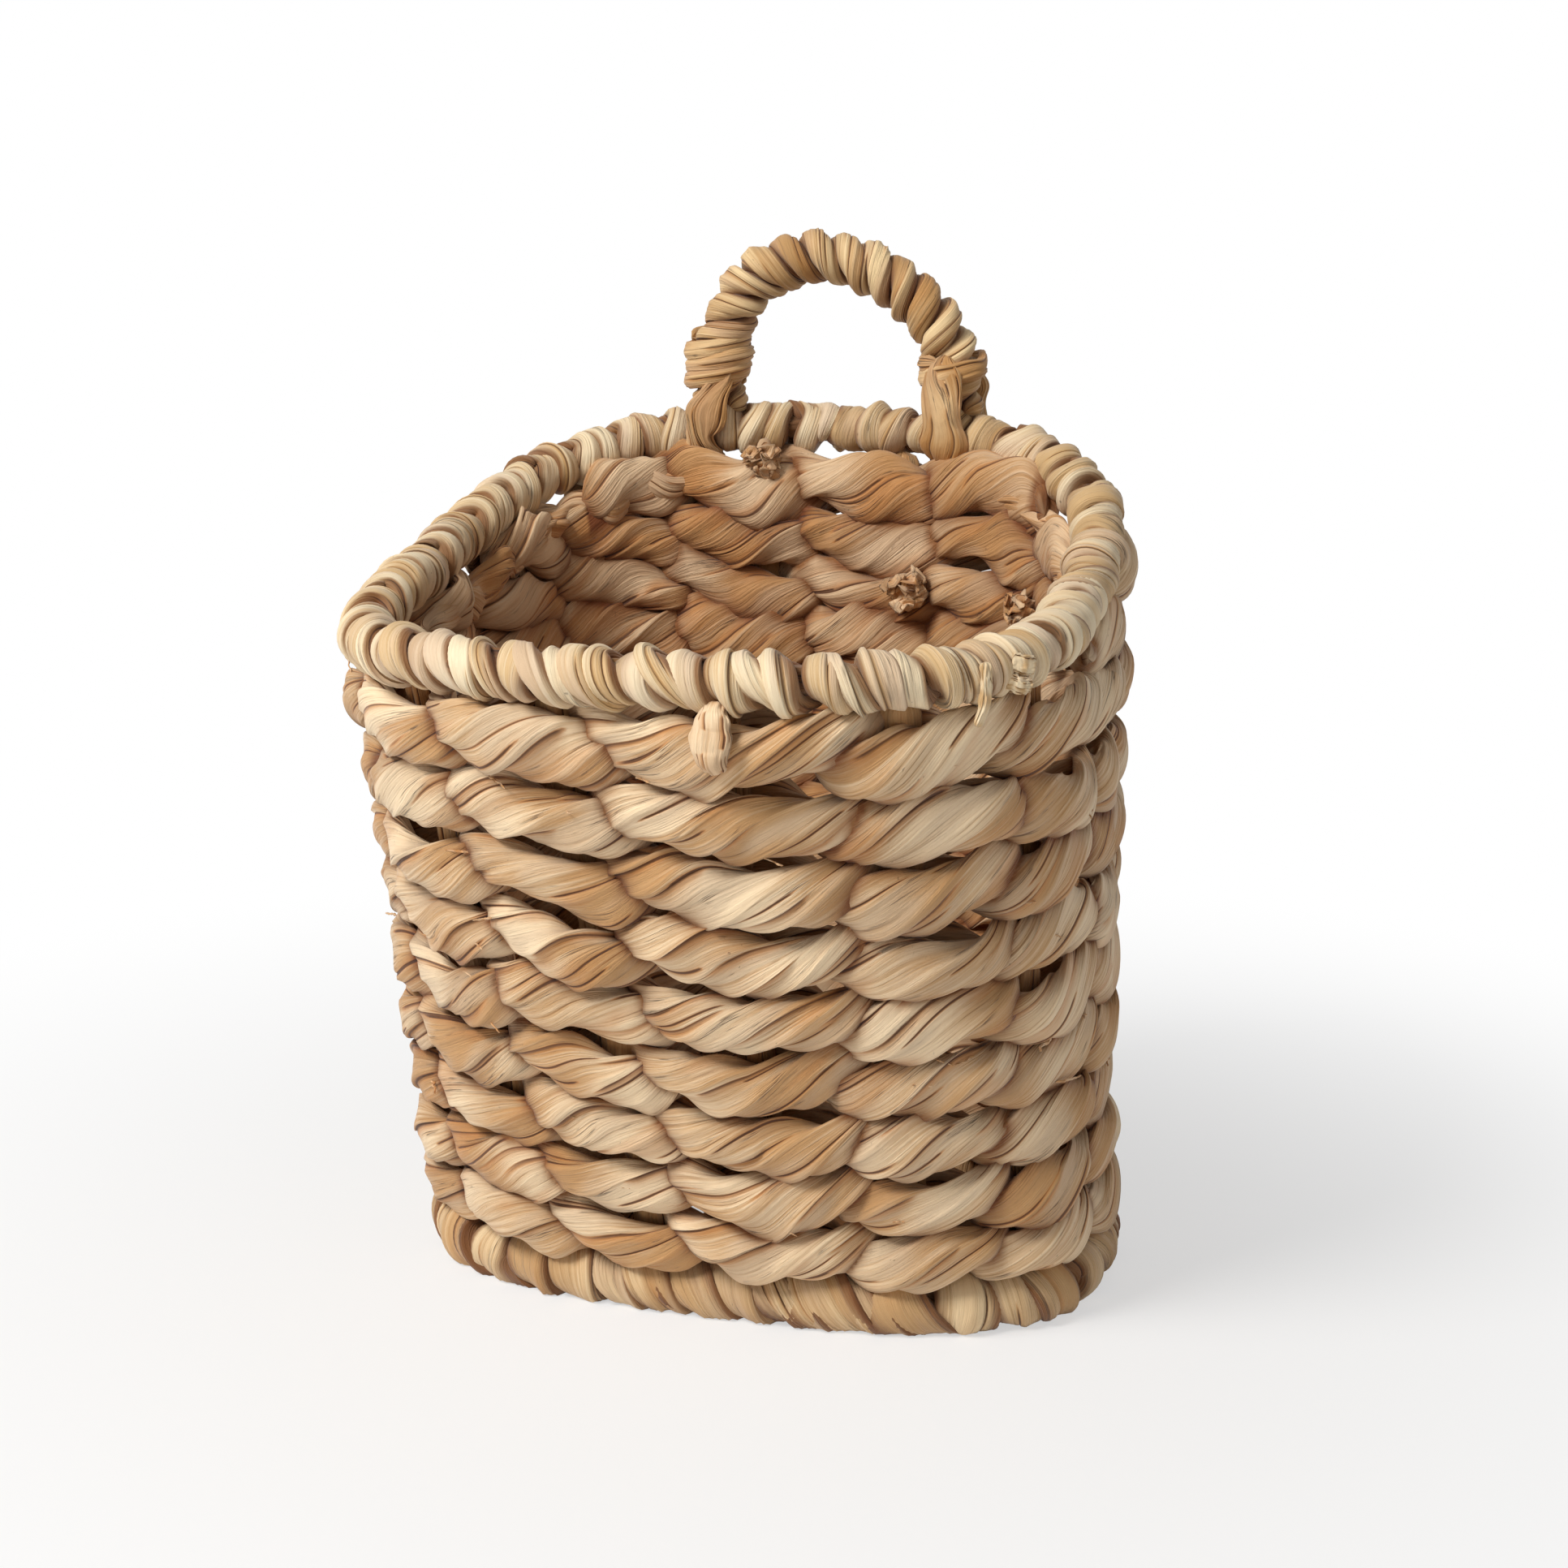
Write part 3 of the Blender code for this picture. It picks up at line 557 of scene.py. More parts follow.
def make_colour_group():
    """The leaf's colour: body and pale streaks, warm and greyish fields, dark splits, and painted
    shade at leaf edges, in creases and where parts lie close.
    """
    group, start, end = new_group(
        "dried leaf colour",
        [(label, "NodeSocketColor", None) for label in COLOUR_INPUTS]
        + [(label, "NodeSocketFloat", 0.0) for label in VALUE_INPUTS],
        [("Color", "NodeSocketColor")],
    )
    put = start.outputs
    swing = maths(group, "MULTIPLY", maths(group, "SUBTRACT", put["Streak"], 0.5), 2.7)
    paler = stretch(group, maths(group, "ADD", put["Tone"], swing), -0.75, 0.95)
    colour = blend(group, paler, put["Body"], put["Pale"])
    ashen = maths(group, "MULTIPLY", stretch(group, put["Blotch"], 0.50, 0.66), 0.60)
    colour = blend(group, ashen, colour, put["Ash"])
    warm_field = stretch(group, put["Blotch"], 0.46, 0.32)
    warmer = maths(group, "ADD", maths(group, "MULTIPLY", warm_field, 0.40), put["Warmth"], True)
    colour = blend(group, warmer, colour, put["Warm"])
    deep = stretch(group, put["Streak"], 0.42, 0.20, 0.0, 0.55)
    colour = blend(group, deep, colour, put["Dark"])
    colour = blend(group, maths(group, "MULTIPLY", put["Split"], 0.72), colour, put["Dark"])
    colour = blend(group, maths(group, "MULTIPLY", put["Speck"], 0.5), colour, put["Dark"])
    # Painted shade behind leaf edges and in creases: a warm brown band, partly the edges' own
    # browner colour, that turns dark nearest them.
    edge = stretch(group, put["Fold_shade"], 0.03, 0.35, 0.0, 0.70)
    colour = blend(group, edge, colour, put["Warm"])
    colour = blend(group, stretch(group, put["Fold_shade"], 0.20, 0.70, 0.0, 0.92), colour, put["Dark"])
    # Painted shade where parts lie close together: the colour is multiplied by the dark brown shade
    # tint.
    colour = blend(group, put["Deep"], colour, put["Painted_shade_tint"], "MULTIPLY")
    group.links.new(colour, end.inputs["Color"])
    return group


FIBRES = make_fibre_group()
LEAF_COLOUR = make_colour_group()

# The dark brown tint of the painted shade where parts lie close together.
PAINTED_SHADE_TINT = (0.30, 0.15, 0.05, 1.0)
ROUGHEST = 0.74
SMOOTHEST = 0.54
BUMP_HEIGHT = 0.0009
SHEEN = 0.15


def leaf_material(name, body, pale, warm, ash, dark):
    """A dried leaf's material from five screen colours."""
    material = bpy.data.materials.new(name)
    material.use_nodes = True
    tree = material.node_tree
    shader = tree.nodes["Principled BSDF"]
    lay = add(tree, "ShaderNodeUVMap", uv_map="lay")
    attributes = {}
    for key in ("tone", "fold_shade", "warmth", "leaf", "deep"):
        attributes[key] = add(tree, "ShaderNodeAttribute", attribute_name=key).outputs["Fac"]
    fibres = add(tree, "ShaderNodeGroup", node_tree=FIBRES)
    tree.links.new(lay.outputs["UV"], fibres.inputs["Lay"])
    tree.links.new(attributes["leaf"], fibres.inputs["Leaf"])
    colour = add(tree, "ShaderNodeGroup", node_tree=LEAF_COLOUR)
    for label, screen_colour in zip(COLOUR_INPUTS, (body, pale, warm, ash, dark)):
        colour.inputs[label].default_value = tint(*screen_colour)
    colour.inputs["Painted_shade_tint"].default_value = PAINTED_SHADE_TINT
    for label in FIBRE_VALUES:
        tree.links.new(fibres.outputs[label], colour.inputs[label])
    for key in ("tone", "fold_shade", "warmth", "deep"):
        tree.links.new(attributes[key], colour.inputs[key.capitalize()])
    tree.links.new(colour.outputs["Color"], shader.inputs["Base Color"])
    roughness = stretch(tree, fibres.outputs["Streak"], 0.3, 0.7, ROUGHEST, SMOOTHEST)
    tree.links.new(roughness, shader.inputs["Roughness"])
    bump = add(tree, "ShaderNodeBump", {"Strength": 0.85, "Distance": BUMP_HEIGHT})
    tree.links.new(fibres.outputs["Height"], bump.inputs["Height"])
    tree.links.new(bump.outputs["Normal"], shader.inputs["Normal"])
    shader.inputs["Specular IOR Level"].default_value = 0.35
    shader.inputs["Sheen Weight"].default_value = SHEEN
    shader.inputs["Sheen Roughness"].default_value = 0.5
    return material


WEAVER = leaf_material(
    "weaver strand", (200, 154, 102), (252, 226, 188), (202, 134, 68),
    (218, 192, 160), (86, 46, 14),
)
RIM = leaf_material(
    "rim leaf", (212, 176, 126), (248, 228, 192), (206, 156, 90),
    (220, 190, 162), (88, 52, 20),
)
BASE = leaf_material(
    "foot leaf", (196, 156, 108), (240, 212, 168), (194, 138, 78),
    (198, 164, 130), (76, 44, 18),
)
HANDLE = leaf_material(
    "rope leaf", (190, 146, 92), (246, 216, 166), (192, 132, 68),
    (200, 158, 122), (76, 44, 18),
)
STAKE = leaf_material(
    "stake stems", (176, 130, 80), (218, 180, 128), (180, 120, 62),
    (190, 152, 118), (70, 40, 16),
)
CORE = leaf_material(
    "core stems", (160, 122, 74), (198, 164, 110), (164, 112, 60),
    (176, 142, 108), (70, 44, 18),
)
FLOOR = leaf_material(
    "floor leaf", (182, 140, 94), (222, 186, 138), (182, 128, 74),
    (182, 148, 116), (68, 40, 16),
)


# The twined rows

RING_SPACING = 0.0016
STRAND_FRONT_THICK = 0.0042
STRAND_CROSS_THICK = 0.0045
SWING_LEAD = 0.175 * math.pi
SWING_SKEW = 0.5
RIM_UNDERSIDE = 0.0060
CONTACT_REACH = 0.0016
RING_STEP = 1.0 / (3 * STAKE_COUNT)
TOP_SHORT_ROW = 1 - SHORT_ROWS
WALL_LENGTH = 0.70
INSIDE_TURNOVER = 1.9
SWING_FULLNESS = 0.7
LOOK_LEAD = 0.3
TALL_LEAST = 0.290
TALL_OVER = 0.190
TALL_HIDDEN = 0.08
TALL_BACK_GAIN = 0.17
CLIMB = 0.155
CLIMB_BACK_GAIN = 0.065
STRAND_WANDER = 0.0015
STRAND_SWELL = 0.0009
EDGE_ROW_SHIFT = 0.0012
DEEPEST = 0.97
NEAR_SHADE = 0.92
WIDE_SHADE = 0.28
WALL_SHADE = 0.55
WALL_CORE = 0.0015
WALL_SKIN = 0.0085
INSIDE_PAINTED_WARM_LIGHT = 0.22
SHORT_ROW_TIP_RINGS = 10.0


def lay_sign(share):
    """1 where a strand climbs as it leaves the front, -1 where the lay turns over."""
    share = np.mod(share, 1.0)
    turned = np.zeros(share.shape, bool)
    for low, high in LAY_TURNS:
        turned |= (share > low) & (share < high)
    return np.where(turned, -1.0, 1.0)


def wall_frame(row, share):
    """The middle of a row, with the axes outward through the wall and up along it."""
    height = row_height(row, share)
    centre = wall_point(share, height)
    ahead = wall_point(share + SHARE_STEP, row_height(row, share + SHARE_STEP))
    behind = wall_point(share - SHARE_STEP, row_height(row, share - SHARE_STEP))
    tangent = unit(ahead - behind)
    upward = unit(wall_point(share, height + HEIGHT_STEP) - centre)
    outward = unit(np.cross(tangent, upward))
    return centre, outward, upward


def back_fullness(share):
    """Strands are rolled fatter where the wall is upright, at the back."""
    return smooth_step(0.45, 0.85, backness(on_plan(RIM_WALL, share)[1]))


def under_rim(share, height, room):
    """Short rows bend down to stay under the rim."""
    ceiling = rim_height_at(share) - RIM_UNDERSIDE - 0.34 * room
    return np.minimum(height, ceiling) - height


def twined_path(row, letter, share, closed):
    """The middle line and half sizes of one strand.

    On the side that shows, a strand comes down slowly over its stake from a high start, and it
    goes up quickly on the hidden side. The outside shows at the front and the inside at the back.
    """
    rng = np.random.default_rng(1000 + 10 * row + (letter == "b"))
    phase = math.pi * ((row + (letter == "b")) % 2)
    centre, outward, upward = wall_frame(row, share)
    room = row_room(row, share)
    sign = lay_sign(share)
    back = back_fullness(share)
    face = 1.0 - INSIDE_TURNOVER * back
    turn = math.pi * share * STAKE_COUNT + phase
    ahead = turn - sign * SWING_LEAD * face
    swing = ahead - SWING_SKEW * face * np.sin(ahead)
    across = np.cos(swing)
    across = np.sign(across) * np.abs(across) ** SWING_FULLNESS
    climb = np.sin(swing) * sign
    over = 0.5 + 0.5 * face * np.cos(turn - LOOK_LEAD * sign * face)
    slow = 0.9 * STAKE_COUNT
    fast = 1.6 * STAKE_COUNT
    thick = STRAND_CROSS_THICK + (STRAND_FRONT_THICK - STRAND_CROSS_THICK) * over
    thick = thick * (1.0 + 0.10 * Drift(rng, 5, slow, whole=closed)(share))
    tall = TALL_LEAST + TALL_OVER * over ** 1.3 + TALL_HIDDEN * (1.0 - over) ** 3
    tall = room * tall * (1.0 + TALL_BACK_GAIN * back)
    tall = tall * (1.0 + 0.09 * Drift(rng, 6, fast, whole=closed)(share))
    wander = STRAND_WANDER * Drift(rng, 6, slow, whole=closed)(share)
    swell = STRAND_SWELL * Drift(rng, 6, slow, whole=closed)(share)
    rise = (CLIMB + CLIMB_BACK_GAIN * back) * climb - STRAND_SAG * over * face
    lift = room * rise + wander
    if row < 1:
        lift = lift + under_rim(share, centre[:, 2] + lift, room)
    if row == FULL_ROWS:
        lift = lift + EDGE_ROW_SHIFT
        tall = tall * 0.93
    if row in (1, TOP_SHORT_ROW):
        lift = lift + EDGE_ROW_SHIFT
        tall = tall * (1.04 + 0.10 * back)
    middle = centre + outward * (STRAND_OFFSET * across + swell)[:, None] + upward * lift[:, None]
    return middle, centre, outward, upward, thick, tall


def short_row_start(row):
    """The share at which a short row starts; it ends at the same distance from the middle."""
    return (-3.0 * row - 1.2) * RING_STEP


def touching(points, middle, outward, upward, thick, tall, reach=CONTACT_REACH):
    """1 where a point lies against another strand, falling off within a few millimetres: the
    strength of the painted shade there.
    """
    offset = points - middle[:, None, :]
    a = np.einsum("ijk,ik->ij", offset, outward) / thick[:, None]
    b = np.einsum("ijk,ik->ij", offset, upward) / tall[:, None]
    far = np.sqrt(a ** 2 + b ** 2)
    size = (thick * tall)[:, None] ** 0.5
    gap = np.maximum(far - 1.0, 0.0) * size
    return NEAR_SHADE * np.exp(-gap / reach) + WIDE_SHADE * np.exp(-gap / (3.0 * reach))


def contact_shade(points, share, row, letter):
    """The painted shade on a strand, from how near each point lies to its partner and to the rows
    above and below.
    """
    shade = np.zeros(points.shape[:2])
    reach = (CONTACT_REACH * (1.0 + 0.5 * back_fullness(share)))[:, None]
    others = [(row, "a" if letter == "b" else "b")]
    for near in (row - 1, row + 1):
        if TOP_SHORT_ROW <= near <= FULL_ROWS:
            others += [(near, "a"), (near, "b")]
    for other_row, other_letter in others:
        middle, _, outward, upward, thick, tall = twined_path(
            other_row, other_letter, share, other_row > 0
        )
        near = touching(points, middle, outward, upward, thick, tall, reach)
        if other_row < 1:
            start = short_row_start(other_row)
            near = near * ((share > start) & (share < 0.5 - start))[:, None]
        shade = np.maximum(shade, near)
    return shade


def depth_in_wall(away):
    """1 in the middle of the wall, where strands cross, and 0 on its skins."""
    return 1.0 - smooth_step(WALL_CORE, WALL_SKIN, np.abs(away))


def twined_strand(row, letter, first, last, closed, node):
    rng = np.random.default_rng(2000 + 10 * row + (letter == "b"))
    length = WALL_LENGTH * (last - first)
    rings = int(length / RING_SPACING)
    share = np.linspace(first, last, rings, endpoint=not closed)
    middle, wall, outward, upward, thick, tall = twined_path(row, letter, share, closed)
    roll = leaf_roll(
        rng, middle, outward, upward, thick, tall, closed=closed,
        twist=rng.uniform(68.0, 84.0), edges=int(rng.integers(3, 5)), creases=4,
        seed=float(rng.uniform(0.0, 40.0)), square=0.95, edge_height=0.0011, flats=1.0,
        crease_depth=0.0003, wander=0.10, rib=0.00006,
    )
    if not closed:
        roll = taper(roll, middle, SHORT_ROW_TIP_RINGS)
    # Painted shade: darker where the strands cross in the middle of the wall, and where they lie
    # against their partner and the rows above and below.
    away = np.einsum("ijk,ik->ij", roll.points - wall[:, None, :], outward)
    shade = np.minimum(contact_shade(roll.points, share, row, letter), DEEPEST)
    roll.values["deep"] = np.maximum(WALL_SHADE * depth_in_wall(away), shade)
    # Painted warm light: the wall's inner side is tinted warmer, as by light bounced round inside
    # the basket.
    roll.values["warmth"] = INSIDE_PAINTED_WARM_LIGHT * (1.0 - smooth_step(-0.010, 0.004, away))
    place("twined_" + node, roll, WEAVER, [node])


for row in range(1, FULL_ROWS + 1):
    for letter in "ab":
        twined_strand(row, letter, 0.0, 1.0, True, "row_%d_%s" % (row, letter))

for number in range(SHORT_ROWS):
    first = short_row_start(-number)
    for letter in "ab":
        node = "back_row_%d_%s" % (number + 1, letter)
        twined_strand(-number, letter, first, 0.5 - first, False, node)


# Last strands inside the stakes, along the underside of the rim

UNDER_RIM_RINGS = 110
UNDER_RIM_DROP = 0.0125
UNDER_RIM_BEND = 0.0030
UNDER_RIM_WANDER = 0.0012
UNDER_RIM_INWARD = 0.0062
UNDER_RIM_HALF_TALL = 0.0058
UNDER_RIM_HALF_THICK = 0.0040


def along_wall(share, height):
    return unit(wall_point(share + SHARE_STEP, height) - wall_point(share - SHARE_STEP, height))


def under_rim_strand(side_name, first, last, seed):
    rng = np.random.default_rng(seed)
    share = np.linspace(first, last, UNDER_RIM_RINGS)
    run = np.linspace(0.0, 1.0, UNDER_RIM_RINGS)
    drop = UNDER_RIM_DROP + UNDER_RIM_BEND * np.sin(np.pi * run)
    drop = drop + UNDER_RIM_WANDER * wobble(rng, 2, 5, run)
    height = rim_height_at(share) - drop
    centre = wall_point(share, height)
    upward = unit(wall_point(share, height + HEIGHT_STEP) - centre)
    outward = unit(np.cross(along_wall(share, height), upward))
    inward = UNDER_RIM_INWARD + UNDER_RIM_WANDER * wobble(rng, 2, 5, run)
    middle = centre - outward * inward[:, None]
    tall = UNDER_RIM_HALF_TALL * (0.55 + 0.45 * np.sin(np.pi * np.clip(run * 1.1, 0.0, 1.0)))
    roll = leaf_roll(
        rng, middle, outward, upward, UNDER_RIM_HALF_THICK, tall, twist=72.0, warmth=0.3,
        seed=float(seed), flats=0.75, creases=8, edge_height=0.0009,
    )
    # Painted shade: the whole strand is slightly darkened, as it lies under the rim.
    roll.values["deep"] = 0.15
    roll = taper(roll, middle, 9.0)
    place("under_rim_strand_" + side_name, roll, WEAVER)


under_rim_strand("left", 0.530, 0.400, 700)
under_rim_strand("back_left", 0.425, 0.285, 702)
under_rim_strand("right", -0.030, 0.160, 701)


# Stakes: flattened bundles of stems between the foot roll and the rim

STAKE_HALF_THICK = 0.0030
STAKE_HALF_WIDTH = 0.0052
STAKE_RINGS = 130
STAKE_TOP_DROP = 0.0055
STAKE_RUN = np.linspace(0.0, 1.0, STAKE_RINGS)

for index in range(STAKE_COUNT):
    rng = np.random.default_rng(200 + index)
    share = np.full(STAKE_RINGS, index / STAKE_COUNT)
    top = float(rim_height_at(share[0])) - STAKE_TOP_DROP
    height = np.linspace(2.0 * BASE_AXIS_HEIGHT - 0.002, top, STAKE_RINGS)
    centre = wall_point(share, height)
    tangent = along_wall(share, height)
    upward = unit(np.gradient(centre, axis=0))
    outward = unit(np.cross(tangent, upward))
    wide = STAKE_HALF_WIDTH * (1.0 + 0.10 * rng.uniform(-1.0, 1.0))
    wide = wide * (1.0 + 0.10 * wobble(rng, 2, 9, STAKE_RUN))
    roll = leaf_roll(
        rng, centre, outward, tangent, STAKE_HALF_THICK, wide, twist=rng.uniform(8.0, 18.0),
        edges=3, edge_height=0.0006, flats=0.6, count=32, seed=float(index) * 1.7, square=0.85,
        warmth=0.15,
    )
    roll = taper(roll, centre)
    # Painted shade on the stake where the strands of the rows lie against it.
    shade = np.zeros(roll.points.shape[:2])
    for row in range(1, FULL_ROWS + 1):
        for letter in "ab":
            middle, _, row_out, row_up, thick, tall = twined_path(row, letter, share, True)
            near = touching(roll.points, middle, row_out, row_up, thick, tall)
            shade = np.maximum(shade, near)
    roll.values["deep"] = np.minimum(0.05 + 0.9 * shade, DEEPEST)
    node = "stake_%02d" % (index + 1)
    place("bundle_" + node, roll, STAKE, [node])


# Rim and foot: leaf wound in a helix round the roll


def roll_frames(plan, height_of, share):
    """Places on the middle line of a wound roll, with the axes along it, outward and up."""
    x, y = on_plan(plan, share)
    xa, ya = on_plan(plan, share - SHARE_STEP)
    xb, yb = on_plan(plan, share + SHARE_STEP)
    tangent = unit(np.stack([xb - xa, yb - ya, height_of(yb) - height_of(ya)], axis=-1))
    outward = unit(np.cross(tangent, UP))
    upward = unit(np.cross(outward, tangent))
    return np.stack([x, y, height_of(y)], axis=-1), tangent, outward, upward


def foot_height(y):
    return BASE_AXIS_HEIGHT + 0.0 * y


def rim_frames(share):
    return roll_frames(RIM_PLAN, rim_height, share)


def base_frames(share):
    return roll_frames(BASE_PLAN, foot_height, share)


WINDING_START = math.radians(235.0)
WINDING_PROUD = 0.07
SLANT_DRIFT = 0.55
GROOVE_SHADE = 0.90


def wound_path(rng, frames, share_at, first, last, radius, slant, rings_per_turn, jitter):
    """A helix round the roll: down over the outer side, up on the inner one, and so on."""
    count = last - first
    rings = int(count * rings_per_turn) + 1
    progress = np.linspace(0.0, count, rings)
    angle = WINDING_START - 2.0 * np.pi * (first + progress)
    late = jitter * wobble(rng, count * 0.4, count * 1.1, progress / count)
    centre, tangent, outward, upward = frames(share_at(first + progress + late))
    radial = outward * np.cos(angle)[:, None] + upward * np.sin(angle)[:, None]
    proud = 1.0 + WINDING_PROUD * wobble(rng, count * 0.4, count * 1.2, progress / count)
    slant = slant * (1.0 + SLANT_DRIFT * wobble(rng, count * 0.3, count * 0.7, progress / count))
    middle = (
        centre + radial * (radius * proud)[:, None]
        - tangent * (slant * np.sin(angle))[:, None]
    )
    return middle, centre, radial, angle, progress / count


def wound_leaf(
    rng, frames, share_at, first, last, radius, thick, wide, slant, rings_per_turn,
    shingle, twist, edge_height, jitter, seed, seen_from, square=1.0, groove=(0.66, 0.88),
):
    """A leaf wound round a roll. Each turn is a puffed bean that leans on the one before it, with
    painted shade in the grooves between turns and towards the core.
    """
    middle, centre, radial, angle, share = wound_path(
        rng, frames, share_at, first, last, radius, slant, rings_per_turn, jitter
    )
    count = last - first
    travel = unit(np.gradient(middle, axis=0))
    breadth = unit(np.cross(travel, radial))
    lean = np.radians(shingle * (1.0 + 0.6 * wobble(rng, count * 0.4, count, share)))[:, None]
    side = radial * np.cos(lean) - breadth * np.sin(lean)
    up = breadth * np.cos(lean) + radial * np.sin(lean)
    puff = 1.0 + 0.14 * np.cos(2.0 * (angle - 0.5))
    wide = wide * puff * (1.0 + 0.13 * wobble(rng, count * 0.4, count * 1.1, share))
    thick = thick * (1.0 + 0.14 * wobble(rng, count * 0.4, count * 1.1, share))
    roll = leaf_roll(
        rng, middle, side, up, thick, wide, twist=twist, edges=2, edge_height=edge_height,
        rib=0.00005, count=24, creases=3, crease_depth=0.0005, seed=seed, tone_swing=0.35,
        flats=0.7, square=square,
    )
    # Painted shade: darker nearer the roll's core and at the sides of each turn, in the grooves.
    away = np.linalg.norm(roll.points - centre[:, None, :], axis=-1)
    low = 1.0 - smooth_step(seen_from, radius + float(np.mean(thick)) * 0.95, away)
    off = np.abs(np.einsum("ijk,ik->ij", roll.points - middle[:, None, :], up)) / wide[:, None]
    roll.values["deep"] = np.maximum(low, GROOVE_SHADE * smooth_step(*groove, off))
    return taper(roll, middle, rings_per_turn * 0.4)


def hoop(name, frames, rings, radius, leaf, nodes, seed):
    """The core that a roll is wound round."""
    centre, _, outward, upward = frames(np.linspace(0.0, 1.0, rings, endpoint=False))
    roll = leaf_roll(
        np.random.default_rng(seed), centre, outward, upward, radius, radius, closed=True,
        twist=20.0, count=24, seed=leaf,
    )
    # Painted shade: the core is darkened all over, as it lies under the wound leaf.
    roll.values["deep"] = 0.8
    place(name, roll, CORE, nodes)


def base_turn_share(turns):
    return turns / BASE_WRAP_TURNS


RIM_LENGTH = travelled(rim_frames(np.linspace(0.0, 1.0, 400))[0])[-1]
for piece, turns in enumerate(RIM_TURNS):
    rng = np.random.default_rng(300 + piece)

    def quarter_share(turn, piece=piece, turns=turns):
        return (piece + turn / turns) / len(RIM_TURNS)

    roll = wound_leaf(
        rng, rim_frames, quarter_share, 0.0, turns,
        radius=0.0047, thick=0.0038, wide=0.57 * RIM_LENGTH / len(RIM_TURNS) / turns,
        slant=0.0026, rings_per_turn=34, shingle=-7.0, twist=38.0, edge_height=0.0009,
        jitter=0.17, seed=10.0 + piece * 3.3, seen_from=0.0056,
    )
    node = "rim_wrap_%d" % (piece + 1)
    place("wound_" + node, roll, RIM, [node])

hoop("rim_hoop", rim_frames, 360, 0.0044, 31.0, ["rim_core"], 340)

rng = np.random.default_rng(350)
roll = wound_leaf(
    rng, base_frames, base_turn_share, 0.0, BASE_WRAP_TURNS,
    radius=0.0048, thick=0.0056, wide=0.0078, slant=0.0028, rings_per_turn=36,
    shingle=-6.0, twist=36.0, edge_height=0.0020, jitter=0.20, seed=17.0, seen_from=0.0062,
    square=0.9, groove=(0.62, 0.94),
)
roll.points[..., 2] = np.maximum(roll.points[..., 2], 0.0)
place("wound_foot", roll, BASE, ["base_roll"])
hoop("foot_hoop", base_frames, 300, 0.0052, 33.0, [], 351)


# Handle: two plies twisted along an arch


def rim_share_at(x):
    """The place on the back of the rim that lies at this x."""
    share = 0.25
    for _ in range(40):
        share += float(on_plan(RIM_PLAN, share)[0] - x) * 1.2
    return share


HANDLE_BACK_Y = float(on_plan(RIM_PLAN, rim_share_at(HANDLE_HALF_SPAN))[1])
HANDLE_FOOT = float(rim_height(HANDLE_BACK_Y)) + HANDLE_FOOT_ABOVE_RIM


def handle_points():
    """The arch's middle line: a leg, a half ring and the other leg."""
    spring = HANDLE_TOP_HEIGHT - HANDLE_HALF_SPAN
    rise = np.linspace(HANDLE_FOOT, spring, 12, endpoint=False)
    angle = np.linspace(0.0, np.pi, 120)
    x = np.concatenate([
        np.full(12, HANDLE_HALF_SPAN), HANDLE_HALF_SPAN * np.cos(angle),
        np.full(12, -HANDLE_HALF_SPAN),
    ])
    z = np.concatenate([rise, spring + HANDLE_HALF_SPAN * np.sin(angle), rise[::-1]])
    part = np.clip((z - HANDLE_FOOT) / (HANDLE_TOP_HEIGHT - HANDLE_FOOT), 0.0, 1.0)
    lean = HANDLE_LEAN * part ** 2
    points = np.stack([HANDLE_CENTRE_X + x - lean, np.full(len(x), HANDLE_BACK_Y), z], axis=1)
    length = travelled(points)
    return points, length / length[-1], length[-1]


ARCH, ARCH_SHARE, ARCH_LENGTH = handle_points()


def on_arch(share):
    """Runs on straight past either foot."""
    points = np.stack([np.interp(share, ARCH_SHARE, ARCH[:, k]) for k in range(3)], axis=-1)
    below = np.maximum(-share, 0.0) + np.maximum(share - 1.0, 0.0)
    points[:, 2] -= below * ARCH_LENGTH
    return points


PLY_RINGS = 330
PLY_EXTRA = 0.05
PLY_HALF_WIDE = 0.0040
PLY_HALF_THICK = 0.0045
PLY_CREVICE = (0.0062, 0.0090)
for letter, start in (("a", 0.0), ("b", math.pi)):
    rng = np.random.default_rng(400 + (letter == "b"))
    share = np.linspace(-PLY_EXTRA, 1.0 + PLY_EXTRA, PLY_RINGS)
    centre = on_arch(share)
    ahead = unit(np.gradient(centre, axis=0))
    depth = np.broadcast_to(np.array([0.0, 1.0, 0.0]), ahead.shape)
    across = unit(np.cross(ahead, depth))
    angle = start + 2.0 * np.pi * PLY_TURNS * share
    away = depth * np.cos(angle)[:, None] + across * np.sin(angle)[:, None]
    radius = PLY_OFFSET * (1.0 + 0.04 * wobble(rng, 4, 12, share))
    middle = centre + away * radius[:, None]
    travel = unit(np.gradient(middle, axis=0))
    breadth = unit(np.cross(travel, away))
    side = unit(np.cross(breadth, travel))
    crowding = 1.0 - np.sin(angle) * PLY_OFFSET / HANDLE_HALF_SPAN
    wide = PLY_HALF_WIDE * crowding * (1.0 + 0.06 * wobble(rng, 5, 14, share))
    thick = PLY_HALF_THICK * (1.0 + 0.08 * wobble(rng, 5, 14, share))
    roll = leaf_roll(
        rng, middle, side, breadth, thick, wide, twist=40.0, edges=4, edge_height=0.0006,
        count=34, seed=21.0 + start, tone_swing=0.5, flats=0.35,
    )
    # Painted shade: darker nearer the rope's axis, in the crevice between the two plies.
    axis_distance = np.linalg.norm(roll.points - centre[:, None, :], axis=-1)
    roll.values["deep"] = DEEPEST * (1.0 - smooth_step(*PLY_CREVICE, axis_distance))
    node = "handle_ply_" + letter
    place("twisted_" + node, taper(roll, middle, 4.0), HANDLE, [node])


# Lashings: a whipping round each foot of the rope, and a sling under the rim that holds it

